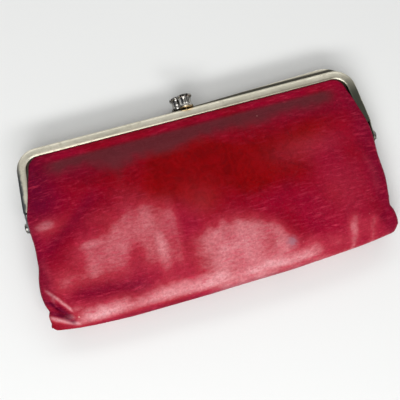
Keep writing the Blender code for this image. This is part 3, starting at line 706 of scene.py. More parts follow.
def leather_material():
    """Crimson glazed leather: mottled colour, fine grain, creases, scuffs and a few specks, with
    painted shade, painted highlights and painted reflections from the tone masks.
    """
    made = Shader("red_leather", roughness=0.24, specular=0.09)
    flat = made.flat()
    band, dark, pale, spot = made.tone()
    broad = made.noise(flat, 5.5, 4.0, 0.6, 0.6)
    cloudy = made.noise(flat, 19.0, 5.0, 0.65, 0.8, offset=3.1)
    fine = made.noise(flat, 120.0, 3.0, 0.6, 0.3, offset=7.7)
    made.mottle(made.ranged(broad, 0.34, 0.66), (0.205, 0.0, 0.0005), (0.275, 0.0, 0.001))
    made.paint(made.ranged(cloudy, 0.42, 0.72, 0.0, 0.45), (0.35, 0.0, 0.010))
    made.paint(made.ranged(cloudy, 0.5, 0.3, 0.0, 0.45), (0.15, 0.0, 0.006))
    handled = made.node("Attribute", "Fac", attribute_name="wear")
    made.paint(made.ranged(handled, 0.2, 0.9, 0.0, 0.6), (0.320, 0.0, 0.045))
    streaky = made.noise(made.scaled(flat, (26.0, 70.0, 1.0), 35.0), 1.0, 5.0, 0.7, 0.4, offset=2.3)
    # The pale mask paints highlights and reflections of the window on the front, pink and whitish
    # where strongest; on the back it paints paler rubbed places.
    painted_sheen_and_wear = made.times(pale, made.ranged(streaky, 0.3, 0.7, 0.80, 1.14), clamp=True)
    made.paint(made.ranged(painted_sheen_and_wear, 0.0, 1.0), (0.66, 0.105, 0.135))
    made.paint(made.ranged(painted_sheen_and_wear, 0.32, 1.20, 0.0, 0.95), (0.77, 0.50, 0.515))
    # The dark mask paints shade: on the front in its corners, along its edges and in its folds and
    # creases; on the back it darkens the edges.
    made.paint(made.times(dark, made.ranged(cloudy, 0.3, 0.7, 0.75, 1.0)), (0.12, 0.0, 0.032))
    streaks = made.noise(made.scaled(flat, (14.0, 80.0, 1.0), 32.0), 1.0, 5.0, 0.72, 0.5)
    patches = made.noise(flat, 8.0, 3.0, 0.6, 0.2, offset=11.0)
    scuffs = made.times(made.eased(streaks, 0.49, 0.68), made.eased(patches, 0.42, 0.62))
    crossing = made.noise(made.scaled(flat, (12.0, 70.0, 1.0), -48.0), 1.0, 5.0, 0.72, 0.6)
    rubbed = made.times(made.eased(crossing, 0.50, 0.70), made.eased(patches, 0.60, 0.40))
    marks = made.times(made.math("ADD", scuffs, rubbed, clamp=True), handled)
    made.paint(made.times(marks, 0.8), (0.56, 0.05, 0.10))
    glints = made.ranged(made.noise(flat, 75.0, 2.0, 0.8, 0.4, offset=5.0), 0.56, 0.72)
    glints = made.times(glints, made.ranged(handled, 0.1, 1.0, 0.0, 0.42))
    made.paint(glints, (0.50, 0.03, 0.07))
    blots = made.noise(flat, 60.0, 3.0, 0.7, 0.5, offset=9.0)
    made.paint(made.ranged(blots, 0.62, 0.34, 0.0, 0.28), (0.13, 0.0, 0.008))
    # The band under the bar is painted shade with a grey painted reflection.
    made.paint(made.times(band, 0.82), (0.138, 0.031, 0.039))
    specks = made.ranged(made.cells(flat, 7.0), 0.035, 0.022)
    made.paint(made.times(specks, 0.8), (0.62, 0.33, 0.30))
    made.paint(made.times(spot, 0.85), (0.34, 0.15, 0.19))
    stirred = made.node("TexNoise", "Color", {"Vector": flat, "Scale": 60.0})
    grain = made.cells(made.blend(0.06, flat, stirred), 135.0, "DISTANCE_TO_EDGE")
    pores = made.eased(grain, 0.0, 0.16)
    lines = made.cells(made.scaled(flat, (22.0, 30.0, 1.0), 15.0), 1.0, "DISTANCE_TO_EDGE")
    hairlines = made.eased(lines, 0.0, 0.035)
    normal = made.bump(cloudy, 0.5, 0.5)
    normal = made.bump(pores, 0.06, 0.6, normal)
    normal = made.bump(fine, 0.10, 0.7, normal)
    normal = made.bump(hairlines, 0.07, 0.6, normal)
    rough = made.ranged(cloudy, 0.3, 0.7, 0.23, 0.31)
    return made.finish(made.math("ADD", rough, made.times(marks, 0.10)), normal)


def paint_frame_shade_and_reflections(made):
    """Painted dark reflections on the arms, inside on the right one and outside on the left, a
    painted shadow between the bars, and painted shade on their upper lip.
    """
    x, y, z = made.axes(made.place())
    drift = made.ranged(made.noise(made.place(), 130.0, 4.0, 0.6), 0.3, 0.7, -0.0007, 0.0007)
    slant = made.times(made.math("SUBTRACT", y, 0.027), 0.07)
    for side, low, high, strength, reflected_dark in (
        (1.0, 0.1004, 0.0992, 0.92, (0.075, 0.08, 0.062)),
        (-1.0, 0.0978, 0.0990, 0.88, (0.08, 0.09, 0.11)),
    ):
        out = made.math("ADD", made.math("ADD", made.times(x, side), slant), drift)
        mask = made.eased(out, low, high, 0.0, strength)
        if side > 0:
            mask = made.times(mask, made.eased(out, 0.0925, 0.0940))
        made.paint(made.times(mask, made.eased(y, 0.047, 0.030)), reflected_dark)
    # A painted shadow in the gap where the back bar stands out beside the front bar.
    seam = made.eased(y, 0.0503, 0.0496, 0.0, 0.9)
    for value, low, high in ((y, 0.0462, 0.0468), (z, 0.0121, 0.0119), (z, 0.0112, 0.0117)):
        seam = made.times(seam, made.ranged(value, low, high))
    made.paint(seam, (0.07, 0.065, 0.055))
    # Painted shade on the bars' upper lip, which would otherwise reflect the window brightly.
    lip = made.eased(made.math("ABSOLUTE", x), 0.091, 0.086, 0.0, 0.75)
    made.paint(made.times(lip, made.eased(y, 0.0436, 0.0428)), (0.34, 0.31, 0.24))


def metal_material(name, pale, dull, grime_and_dark_reflection, rough, brushed=(1.0, 1.0, 1.0), bump=0.02,
                   contrast=(0.58, 0.8, 0.25), extra=None):
    """Plated metal with fine brush marks, tarnish in clouds, and dirt in fine spots; the near-black
    dirt colour of the silver spools paints streaks that are painted dark reflections.
    """
    made = Shader(name, roughness=rough, metallic=1.0)
    place = made.place()
    clouds = made.noise(place, 45.0, 5.0, 0.6, 0.5)
    patches = made.noise(place, 260.0, 4.0, 0.65, 0.3, offset=0.31)
    marks = made.noise(made.scaled(place, brushed), 1.0, 3.0, 0.7)
    made.mottle(made.ranged(clouds, 0.36, 0.66), dull, pale)
    made.paint(made.ranged(patches, 0.55, 0.75, 0.0, 0.5), grime_and_dark_reflection)
    low, high, share = contrast
    made.paint(made.ranged(marks, low, high, 0.0, share), grime_and_dark_reflection)
    if extra is not None:
        extra(made)
    roughness = made.ranged(patches, 0.3, 0.7, rough - 0.06, rough + 0.12)
    return made.finish(roughness, made.bump(marks, bump, 0.6))


# ---------------------------------------------------------------- CAD nodes that stay


CREASE_ANGLE = 32.0      # degrees above which a CAD edge stays sharp
TINY = 1e-12


def smooth_cad(node):
    """Rounds the shading of a CAD node across its gentle edges. Its vertices stay as they are."""
    mesh = node.data
    count = len(mesh.polygons)
    corners = np.empty(len(mesh.loops), np.int64)
    mesh.loops.foreach_get("vertex_index", corners)
    places = np.empty(len(mesh.vertices) * 3)
    mesh.vertices.foreach_get("co", places)
    places = np.round(places.reshape(-1, 3) * 1e6).astype(np.int64)
    _, merged = np.unique(places, axis=0, return_inverse=True)
    merged = merged.reshape(-1)[corners]
    face_normals = np.empty(count * 3)
    mesh.polygon_normals.foreach_get("vector", face_normals)
    face_normals = face_normals.reshape(-1, 3)
    areas = np.empty(count)
    mesh.polygons.foreach_get("area", areas)
    face_of = np.repeat(np.arange(count), [p.loop_total for p in mesh.polygons])
    normals = np.empty((len(corners), 3))
    order = np.argsort(merged, kind="stable")
    bounds = np.flatnonzero(np.diff(merged[order])) + 1
    limit = math.cos(math.radians(CREASE_ANGLE))
    for group in np.split(order, bounds):
        own = face_normals[face_of[group]]
        close = (own @ own.T > limit) * areas[face_of[group]][None, :]
        normals[group] = close @ own
    lengths = np.linalg.norm(normals, axis=1)
    normals = np.where(lengths[:, None] > TINY, normals / np.maximum(lengths, TINY)[:, None],
                       face_normals[face_of])
    mesh.shade_smooth()
    mesh.normals_split_custom_set(normals.tolist())


def finish_node(name, material):
    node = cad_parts[name]
    if node.material_slots:
        for slot in node.material_slots:
            slot.link = "DATA"
            slot.material = material
    else:
        node.data.materials.append(material)
    smooth_cad(node)


def weave_height(made, flat, threads):
    """Over-and-under of a plain weave, with that many threads in 10 mm."""
    turn = 2.0 * math.pi * 10.0 * threads
    across, down, _ = made.axes(flat)
    return made.times(*[made.math("SINE", made.times(axis, turn)) for axis in (across, down)])


def cloth_material(name, light, deep, threads, rough=0.85, bump=0.06, specular=0.2):
    """Plainly woven cloth: threads, slubs and soft colour variation."""
    made = Shader(name, roughness=rough, specular=specular)
    made.surface.inputs["Sheen Weight"].default_value = 0.25
    made.surface.inputs["Sheen Roughness"].default_value = 0.5
    flat = made.flat()
    threads_up = made.ranged(weave_height(made, flat, threads), -1.0, 1.0)
    slubs = made.noise(made.scaled(flat, (14.0, 190.0, 1.0)), 1.0, 3.0, 0.6)
    clouds = made.noise(flat, 6.0, 3.0, 0.6)
    made.mottle(made.ranged(threads_up, 0.1, 0.9), deep, light)
    made.paint(made.ranged(slubs, 0.55, 0.75, 0.0, 0.35), light)
    made.paint(made.ranged(clouds, 0.4, 0.7, 0.0, 0.3), deep)
    height = made.math("ADD", threads_up, made.times(slubs, 0.6))
    roughness = made.ranged(slubs, 0.3, 0.7, rough - 0.08, min(rough + 0.08, 1.0))
    return made.finish(roughness, made.bump(height, bump, 0.8))


def suede_material(name, light, deep):
    """Thin dark leather: soft nap, pores and a few rubbed places."""
    made = Shader(name, roughness=0.55, specular=0.3)
    flat = made.flat()
    clouds = made.noise(flat, 12.0, 4.0, 0.6, 0.5)
    grain = made.cells(flat, 120.0, "DISTANCE_TO_EDGE")
    made.mottle(made.ranged(clouds, 0.35, 0.65), deep, light)
    rubbed = made.noise(flat, 30.0, 4.0, 0.7, 0.6, offset=4.0)
    made.paint(made.ranged(rubbed, 0.6, 0.8, 0.0, 0.4), [1.6 * part for part in light])
    normal = made.bump(made.eased(grain, 0.0, 0.18), 0.04, 0.7)
    normal = made.bump(made.noise(flat, 500.0, 2.0), 0.03, 0.5, normal)
    return made.finish(made.ranged(clouds, 0.3, 0.7, 0.48, 0.66), normal)


def twisted_material(name, light, deep, scale, rough):
    """Thread or rolled paper: fine strands across its length, and soft colour variation."""
    made = Shader(name, roughness=rough, specular=0.2)
    place = made.place()
    strands = made.noise(made.scaled(place, (scale, 0.4 * scale, scale), 35.0), 1.0, 3.0, 0.6)
    clouds = made.noise(place, 80.0, 3.0, 0.6)
    made.mottle(made.ranged(strands, 0.35, 0.65), deep, light)
    made.paint(made.ranged(clouds, 0.4, 0.7, 0.0, 0.4), deep)
    roughness = made.ranged(strands, 0.3, 0.7, rough - 0.08, rough + 0.08)
    return made.finish(roughness, made.bump(strands, 0.05, 0.8))


# ---------------------------------------------------------------- inside


def grid_normals(grid):
    normal = np.cross(np.gradient(grid, axis=0), np.gradient(grid, axis=1))
    return normal / np.maximum(np.linalg.norm(normal, axis=2, keepdims=True), 1e-9)


def inward_copy(grid, gap):
    """The grid moved into the bag by gap. Rows run from the top and columns to the right."""
    normal = grid_normals(grid)
    middle = normal[len(grid) // 4, grid.shape[1] // 2, 2]
    outer = 1.0 if grid[len(grid) // 4, grid.shape[1] // 2, 2] > MIDDLE_Z else -1.0
    return grid - normal * (gap * outer * np.sign(middle))


def cloth_grid(name, grid, thickness, material, replaced, bends=False):
    """A sheet of cloth or thin leather from a grid of points.

    It stands in for the CAD nodes in replaced, which it hides. With bends its transform is baked in
    and it is left loose, else it stays with the bag.
    """
    rows, columns = grid.shape[:2]
    across, down = walked(grid, 1), walked(grid, 0)
    obj = make_object(name, grid.reshape(-1, 3), grid_faces(rows, columns).tolist(), material)
    set_flat_uv(obj, np.stack([across, down], axis=2).reshape(-1, 2))
    thicken(obj, thickness, 0.0)
    size = cut_size(grid, 0.0)
    if bends:
        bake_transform(obj)
    else:
        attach(obj, BAG)
    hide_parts(*replaced)


STITCH_LENGTH = 1.9
STITCH_GAP = 0.9
STITCH_RADIUS = 0.17
STITCH_SIDES = 6


def stitch_line(points, normals):
    """Points and faces of a row of stitches along a path, each a short sunk bead."""
    steps = np.linalg.norm(np.diff(points, axis=0), axis=1)
    along = np.concatenate([[0.0], np.cumsum(steps)])
    places, faces = [], []
    rings = ((0.0, 0.25), (0.15, 0.8), (0.5, 1.0), (0.85, 0.8), (1.0, 0.25))
    at = 0.5 * STITCH_GAP
    while at + STITCH_LENGTH < along[-1]:
        ends = [
            np.array([np.interp(s, along, points[:, k]) for k in range(3)])
            for s in (at, at + STITCH_LENGTH)
        ]
        up = np.array([np.interp(at, along, normals[:, k]) for k in range(3)])
        side = np.cross(up, ends[1] - ends[0])
        side /= np.linalg.norm(side)
        first = len(places)
        for share, scale in rings:
            sunk = up * STITCH_RADIUS * (2.0 * scale - 1.6)
            middle = ends[0] + (ends[1] - ends[0]) * share + sunk
            for turn in range(STITCH_SIDES):
                angle = turn * math.pi / (0.5 * STITCH_SIDES)
                spoke = math.cos(angle) * side + math.sin(angle) * up
                places.append(middle + STITCH_RADIUS * scale * spoke)
        for ring in range(len(rings) - 1):
            for turn in range(STITCH_SIDES):
                base = first + ring * STITCH_SIDES
                a, b = base + turn, base + (turn + 1) % STITCH_SIDES
                faces.append((a, b, b + STITCH_SIDES, a + STITCH_SIDES))
        faces.append(tuple(range(first + STITCH_SIDES - 1, first - 1, -1)))
        faces.append(tuple(range(len(places) - STITCH_SIDES, len(places))))
        at += STITCH_LENGTH + STITCH_GAP
    return places, faces


def stitches(name, paths, material, body):
    places, faces = [], []
    for points, normals in paths:
        more, more_faces = stitch_line(np.asarray(points, float), np.asarray(normals, float))
        faces += [tuple(index + len(places) for index in face) for face in more_faces]
        places += more
    obj = make_object(name, np.array(places), faces, material)
    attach(obj, body)
    return obj


# Folds and creases along which shade is painted into the dark mask.
DARK_FOLDS = (
    ((-92, 20), (-78, 19), (-62, 17.5), (-50, 15), (-38, 13.5)),
    ((-103, 43), (-92, 47.5), (-80, 55), (-66, 66), (-55, 74)),
    ((-91, 97), (-88, 91), (-85, 84)),
    ((100, 23), (93, 18.5), (88, 12)),
)
CREASES = (
    ((-106, 24), (-98.5, 18.6), (-93, 12.5), (-88, 6)),
    ((-103, 15.5), (-97, 12.5), (-92, 9), (-87, 4)),
)
PALE_FOLDS = (      # line, strength and half width of each ridge with a painted highlight
    (((-103, 30), (-96.5, 22.5), (-90.5, 14.8), (-86, 8)), 0.85, 1.5),
    (((-105, 14), (-97.5, 9.8), (-90, 6), (-82, 3)), 0.95, 1.7),
    (((-100, 44), (-96, 36), (-95.5, 27)), 0.42, 2.6),
    (((65, -6), (70.5, 10), (76, 26)), 0.58, 4.8),
    (((78.5, -4), (82, 10), (86, 22)), 0.50, 3.8),
    (((52, 16), (60, 10), (70, 4)), 0.40, 3),
    (((48, 72), (60, 67), (78, 56)), 0.26, 3),
    (((44, 62), (56, 56), (70, 46)), 0.20, 3),
    (((88, 56), (92, 42), (90, 26)), 0.30, 3),
)
# Painted highlights and reflections of the window, as round spots.
PALE_SPOTS = (       # place, radii and strength
    ((-92, 60), (11, 4.8), 0.64),
    ((2, 22), (18, 10), 0.82),
    ((-8, 8), (22, 7), 0.86),
    ((-72, 27), (9, 9), 0.60),
    ((-57, 30), (6, 10), 0.62),
    ((-33.5, 32), (7.5, 20), 0.74),
    ((-83, 27), (20, 9.5), 0.56),
    ((-84, 13), (12, 4.5), 0.60),
    ((-9, 48), (13, 13), 0.32),
    ((-60, 55), (14, 7), 0.36),
    ((-92, 9), (5, 3), 0.9),
    ((-97, 21), (2, 5), 0.6),
    ((-68, 43), (13, 4.5), 0.76),
    ((60, 9), (9, 5), 0.5),
    ((60, 64), (24, 9), 0.34),
    ((72, 36), (16, 20), 0.30),
    ((78, 13), (12, 8), 0.42),
    ((71.5, 13), (4.5, 9), 0.62),
    ((82, 12), (3.5, 6.5), 0.54),
)
# Lower edge of the band of painted shade under the bar.
SHADED_BAND_LOW = ((-80, 87), (-60, 85.5), (-34, 82), (-10, 84.5), (30, 86), (80, 87.5))
# Upper edges of the two painted reflections of the window, on the lower left and in the lower
# middle.
LEFT_PALE_TOP = ((-95, 36), (-80, 44), (-55, 58), (-35, 60), (-20, 55))
RIGHT_PALE_TOP = (
    (-20, 30), (-12, 36), (5, 38.5), (16, 36), (24, 31), (32, 23.5), (41, 16), (50, 9), (60, 4),
)


def front_tone(points):
    """Masks painted on the front: a band of painted shade under the bar, painted shade at its edges
    and in its folds, painted highlights and reflections where it is pale, and the snap's spot.
    """
    x, y = points[:, 0], points[:, 1]
    front = smooth(8.0, 13.0, points[:, 2])
    drift = 1.6 * waves(x, y, 51, 30.0) + 0.7 * waves(x, y, 52, 8.0)
    band = smooth(-5.0, 4.0, y + drift - curve_through(SHADED_BAND_LOW, x))
    band = band * (1.0 - smooth(92.5, 95.5, y))
    band = band * smooth(-88.0, -76.0, x) * (1.0 - smooth(78.0, 88.0, x))
    # The pale mask paints highlights and reflections of the window: two broad areas, a glow near
    # the foot, spots, ridges and the bottom roll.
    top_a = curve_through(LEFT_PALE_TOP, x)
    area_a = smooth(-14.0, 12.0, top_a + 1.5 * drift - y) * smooth(-99.0, -70.0, x + drift)
    area_a = area_a * (1.0 - smooth(-4.0, 5.0, x - EDGE_X + 0.4 * drift))
    area_a = area_a * (0.25 + 0.75 * smooth(10.0, 28.0, y + drift))
    top_b = curve_through(RIGHT_PALE_TOP, x)
    area_b = smooth(-9.0, 7.0, top_b + drift - y) * smooth(-9.0, 15.0, x - EDGE_X + drift)
    area_b = area_b * (1.0 - 0.25 * smooth(14.0, 44.0, x))
    glow = 0.82 + 0.18 * bump(x, y, (-50.0, 42.0), (24.0, 12.0), 1.0, 22.0)
    foot = 0.30 * smooth(20.0, 8.0, y) * smooth(-95.0, -80.0, x) * (1.0 - smooth(60.0, 90.0, x))
    spots = [bump(x, y, place, radii, strength) for place, radii, strength in PALE_SPOTS]
    pale = np.maximum.reduce([0.64 * area_a * glow, 0.70 * area_b, foot, *spots])
    pale = pale * (1.0 - 0.85 * fold(x, y, DARK_FOLDS[0], 1.0, 5.5))
    pale = pale * (1.0 - 0.3 * bump(x, y, (-49.0, 27.0), (5.0, 12.0), 1.0, -6.0))
    pale = pale * (1.0 + 0.07 * waves(x, y, 53, 13.0))
    stray = 0.5 * waves(x, y, 58, 15.0) * smooth(-60.0, 20.0, x)
    for line, strength, width in PALE_FOLDS:
        pale = np.maximum(pale, fold(x + stray, y, line, strength, width, 1.6))
    # A painted highlight along the bottom roll.
    hem = smooth(-98.0, -78.0, x + drift) * (1.0 - smooth(38.0, 84.0, x + 2.0 * drift))
    ragged = drift + 0.5 * waves(x, y, 59, 7.0) + 1.6 * waves(x, 0.3 * y, 60, 24.0)
    hem = hem * smooth(-0.5, 7.0, y) * (1.0 - smooth(2.5, 21.0, y + 0.6 * ragged))
    hem = hem * (1.0 - 0.25 * bump(x, y, (-47.0, 6.0), (12.0, 20.0), 1.0))
    hem = hem * (1.0 - 0.35 * smooth(22.0, 60.0, x))
    hem = 1.02 * hem * (1.0 + 0.06 * waves(x, y, 57, 17.0))
    pale = np.clip(np.maximum(pale, hem * front), 0.0, 1.0) ** 1.4
    # Painted shade in the corners, along the edges, in the band, along the bottom edge and in the
    # folds and creases.
    dark = np.maximum.reduce([
        0.85 * smooth(-70.0, -92.0, x) * smooth(52.0, 74.0, y),
        0.45 * smooth(84.0, 95.0, x),
        bump(x, y, (-64.0, 83.0), (20.0, 6.0), 0.40),
        bump(x, y, (68.0, 84.0), (22.0, 5.0), 0.34),
        0.5 * smooth(-92.0, -99.0, x) * smooth(8.0, 30.0, y),
        0.5 * (1.0 - smooth(1.0, 3.4, y)) * front,
        *[fold(x, y, line, 0.5, 4.2, 1.5) for line in DARK_FOLDS],
        *[fold(x, y, line, 1.0, 1.5) for line in CREASES],
    ])
    away = np.hypot(x - SNAP_SPOT[0], y - SNAP_SPOT[1])
    ring = 0.35 * np.exp(-((away - 3.1) / 0.7) ** 2)
    spot = np.maximum(1.0 - smooth(1.5, 2.7, away), ring)
    tone = np.stack([band, dark, pale, spot], axis=1) * front[:, None]
    return tone + back_tone(points) * (1.0 - front[:, None])


def front_wear(points):
    """How much each place of the front is rubbed: least in the middle of its upper part."""
    x, y = points[:, 0], points[:, 1]
    kept = bump(x, y, (5.0, 66.0), (52.0, 17.0), 1.0, -8.0)
    wear = 0.75 + 0.2 * smooth(35.0, 60.0, x) - 0.8 * np.clip(1.25 * kept, 0.0, 1.0)
    wear = wear - 0.5 * bump(x, y, (68.0, 77.0), (24.0, 12.0), 1.0)
    return np.clip(wear + 0.15 * waves(x, y, 55, 24.0), 0.05, 1.0)


def back_tone(points):
    """Masks of the back: darker at its edges, paler where it rubs on a table."""
    x, y = points[:, 0], points[:, 1]
    dark = 0.8 * smooth(80.0, 98.0, np.abs(x)) + 0.5 * smooth(92.0, 99.0, y)
    pale = 0.30 * smooth(0.0, 1.0, waves(x, y, 56, 34.0)) + 0.25 * (1.0 - smooth(4.0, 26.0, y))
    zero = np.zeros(len(x))
    return np.stack([zero, np.clip(dark, 0.0, 1.0), np.clip(pale, 0.0, 0.7), zero], axis=1)


# ---------------------------------------------------------------- leather

LEATHER_THICK = 0.9
LINING_THICK = 0.35
GUSSET_THICK = 0.6

red = leather_material()
columns = np.sin(np.linspace(-1.0, 1.0, 221) * math.pi / 2 * 0.9) / math.sin(math.pi / 2 * 0.9)
rises = np.concatenate([np.linspace(100.0, 78.0, 34), np.linspace(77.0, 45.0, 33)])
front_angles = np.linspace(0.0, 90.0, 46)[1:]
back_angles = np.linspace(90.0, 0.0, 24)[1:]
grid = front_grid(columns, rises, front_angles, back_angles)
front_leather, points = leather_sheet("leather_front", grid, red)
set_tone(front_leather, front_tone(points), front_wear(points))
thicken(front_leather, LEATHER_THICK)
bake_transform(front_leather)
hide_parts("leather_front_upper", "leather_front_fold")
cut_size(grid)

columns = np.linspace(-1.0, 1.0, 121)
rises = np.concatenate([np.linspace(100.0, 78.0, 26), np.linspace(76.0, 30.0, 24)])
grid = back_grid(columns, rises)
back_leather, points = leather_sheet("leather_back", grid, red)
set_tone(back_leather, back_tone(points), 0.55 + 0.25 * waves(points[:, 0], points[:, 1], 54, 30.0))
thicken(back_leather, LEATHER_THICK)
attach(back_leather, BAG)
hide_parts("leather_body")
cut_size(grid)

# ---------------------------------------------------------------- metal


def brass_base(made):
    """Paints the spools' feet a brass colour."""
    y = made.axes(made.place())[1]
    made.paint(made.ranged(y, 0.0486, 0.0477, 0.0, 0.6), (0.55, 0.38, 0.17))


nickel = metal_material(
    "nickel_frame", (0.80, 0.76, 0.64), (0.67, 0.64, 0.53), (0.42, 0.39, 0.31), 0.38,
    (90.0, 1500.0, 1500.0), extra=paint_frame_shade_and_reflections,
)
# The silver's near-black streaks along the spools' axis are painted dark reflections, with some
# grime.
silver = metal_material(
    "antique_silver", (0.90, 0.88, 0.84), (0.42, 0.40, 0.37), (0.02, 0.018, 0.015), 0.16,
    (900.0, 40.0, 900.0), 0.04, (0.50, 0.56, 0.95), brass_base,
)
worn_steel = metal_material(
    "worn_steel", (0.55, 0.53, 0.49), (0.16, 0.155, 0.145), (0.03, 0.028, 0.025), 0.24,
    (600.0, 600.0, 600.0), 0.03, (0.48, 0.60, 0.7),
)
brass = metal_material("brass", (0.80, 0.60, 0.28), (0.62, 0.45, 0.2), (0.2, 0.13, 0.05), 0.25)
for name in ("front_frame", "back_frame"):
    finish_node(name, nickel)
for name in ("hinge_rivet_left", "hinge_rivet_right"):
    finish_node(name, worn_steel)
for name in ("front_clasp_spool", "back_clasp_spool", "front_clasp_rivet", "back_clasp_rivet"):
    finish_node(name, silver)
finish_node("zip_slider", brass)

# ---------------------------------------------------------------- lining and gussets

lining_cloth = cloth_material(
    "lining_cloth", (0.105, 0.088, 0.080), (0.045, 0.036, 0.034), 2.2, bump=0.05
)
dark_leather = suede_material("dark_leather", (0.060, 0.030, 0.028), (0.026, 0.014, 0.014))
thread = twisted_material("thread", (0.30, 0.03, 0.04), (0.14, 0.01, 0.02), 2600.0, 0.6)
kraft = twisted_material("kraft_paper", (0.42, 0.29, 0.17), (0.27, 0.18, 0.10), 900.0, 0.85)
for name in ("front_filler_cord", "back_filler_cord"):
    finish_node(name, kraft)

LINING_GAP = 2.0
LINING_SHARE = 0.935
across = np.linspace(-LINING_SHARE, LINING_SHARE, 91)
front_rows = np.concatenate([np.linspace(97.6, 78.0, 14), np.linspace(76.0, 45.0, 16)])
lining_grid = front_grid(
    across, front_rows, np.linspace(0.0, 90.0, 19)[1:], np.linspace(90.0, 0.0, 13)[1:]
)
front_lining_grid = inward_copy(lining_grid, LINING_GAP)
cloth_grid(
    "lining_front", front_lining_grid, LINING_THICK, lining_cloth,
    ["lining_front_upper", "lining_front_fold"], bends=True,
)
lining_grid = back_grid(
    across, np.concatenate([np.linspace(97.6, 78.0, 12), np.linspace(74.0, 30.0, 12)])
)
back_lining_grid = inward_copy(lining_grid, LINING_GAP)
cloth_grid(
    "lining_back", back_lining_grid, LINING_THICK, lining_cloth,
    ["lining_body"],
)


def edge_at(side, y, front):
    """x and z of the lining's side edge at y, on the front or the back."""
    column = -1 if side > 0 else 0
    if front:
        line = front_lining_grid[:, column]
        line = line[line[:, 2] >= MIDDLE_Z - 0.01]
    else:
        low = front_lining_grid[:, column]
        low = low[low[:, 2] < MIDDLE_Z]
        line = np.concatenate([low, back_lining_grid[::-1, column]])
    line = line[np.argsort(line[:, 1])]
    return np.interp(y, line[:, 1], line[:, 0]), np.interp(y, line[:, 1], line[:, 2])


GUSSET_FRONT_TOP = 49.0
GUSSET_BACK_TOP = 58.0
GUSSET_LOW = 7.4
GUSSET_FOLD = 5.0          # how far it folds into the bag


def gusset_grid(side):
    """Side wall folded inwards like a bellows, from the front edge to the back edge."""
    shares = np.linspace(0.0, 1.0, 21)
    rows = []
    top = mix(GUSSET_FRONT_TOP, GUSSET_BACK_TOP, shares)
    for step in np.linspace(0.0, 1.0, 26):
        y = top + (GUSSET_LOW - top) * step
        front_x, front_z = edge_at(side, y, True)
        back_x, back_z = edge_at(side, y, False)
        depth = GUSSET_FOLD * np.sin(math.pi * shares) ** 0.8 * (1.0 - 0.55 * step**3)
        ripple = 0.25 * np.sin(2.0 * math.pi * (y / 13.0 + shares)) * np.sin(math.pi * shares)
        x = mix(front_x, back_x, shares) + side * (1.2 - depth + ripple)
        rows.append(np.stack([x, y, mix(front_z - 0.35, back_z + 0.35, shares)], axis=1))
    return np.stack(rows)


for side, word in ((-1, "left"), (1, "right")):
    cloth_grid(
        f"gusset_{word}_fold", gusset_grid(side), GUSSET_THICK, dark_leather,
        [f"gusset_{word}"],
    )

# ---------------------------------------------------------------- zip pocket

POCKET_HALF = 71.0
POCKET_LOW = 20.0
POCKET_REAR_TOP = 66.0
POCKET_FRONT_TOP = 58.6
POCKET_REAR_THICK = 0.4
POCKET_FRONT_THICK = 0.45
ZIP_LOW = (59.5, 6.95)       # y and z of the zip's lower edge, and of its upper edge
ZIP_HIGH = (67.5, 3.75)
ZIP_PITCH = 1.25
CHAIN_HALF = 67.5
PANEL_CORNER = 3.0
THIN_LEATHER = 0.42          # also the tapes


def rounded_panel_grid(half_x, low_y, high_y, radius, height, rows, columns):
    """Grid over a panel with rounded lower corners. height gives z over across and y."""
    lines = []
    for share in np.linspace(1.0, 0.0, rows):
        y = low_y + (high_y - low_y) * share**1.3
        inset = radius - math.sqrt(max(radius**2 - max(radius - (y - low_y), 0.0) ** 2, 0.0))
        across = np.sin(np.linspace(-1.0, 1.0, columns) * 1.35) / math.sin(1.35)
        x = across * (half_x - inset)
        lines.append(np.stack([x, np.full(columns, y), height(x / half_x, np.full(columns, y))], 1))
    return np.stack(lines)


def pocket_front_height(across, y):
    rise = smooth(POCKET_LOW - 0.5, POCKET_LOW + 12.0, y) * (1.0 - np.abs(across) ** 7)
    soft = 0.16 * waves(across * POCKET_HALF, y, 31, 15.0) * rise
    return 4.1 + 2.7 * rise + np.minimum(soft, 0.12)


def pocket_rear_height(across, y):
    return 3.0 + 0.08 * waves(across * POCKET_HALF, y, 32, 18.0)


cloth_grid(
    "zip_pocket_rear_cloth",
    rounded_panel_grid(
        POCKET_HALF, POCKET_LOW, POCKET_REAR_TOP, PANEL_CORNER, pocket_rear_height, 26, 41
    ),
    POCKET_REAR_THICK, lining_cloth,
    ["zip_pocket_rear"],
)
cloth_grid(
    "zip_pocket_front_cloth",
    rounded_panel_grid(
        POCKET_HALF, POCKET_LOW, POCKET_FRONT_TOP, PANEL_CORNER, pocket_front_height, 34, 71
    ),
    POCKET_FRONT_THICK, lining_cloth,
    ["zip_pocket_front"],
)


def zip_point(x, across, height):
    """A point on the zip: across runs up its slope from its lower edge, height leaves its tape."""
    tilt = math.atan2(ZIP_HIGH[1] - ZIP_LOW[1], ZIP_HIGH[0] - ZIP_LOW[0])
    y = ZIP_LOW[0] + across * math.cos(tilt) - height * math.sin(tilt)
    z = ZIP_LOW[1] + across * math.sin(tilt) + height * math.cos(tilt)
    return np.stack(np.broadcast_arrays(x, y, z), axis=-1)


def zip_tape_grid(low, high):
    lines = []
    x = np.linspace(-69.0, 69.0, 93)
    for across in np.linspace(high, low, 7):
        lift = 0.25 + 0.04 * waves(x, np.full(len(x), across), 33, 11.0)
        lines.append(zip_point(x, across, lift))
    return np.stack(lines)


tape_cloth = cloth_material("zip_tape", (0.20, 0.018, 0.028), (0.085, 0.006, 0.012), 4.0, 0.8, 0.08)
for word, low, high in (("lower", 0.15, 2.55), ("upper", 6.05, 8.45)):
    cloth_grid(
        f"zip_tape_{word}_cloth", zip_tape_grid(low, high), THIN_LEATHER, tape_cloth,
        [f"zip_tape_{word}"],
    )


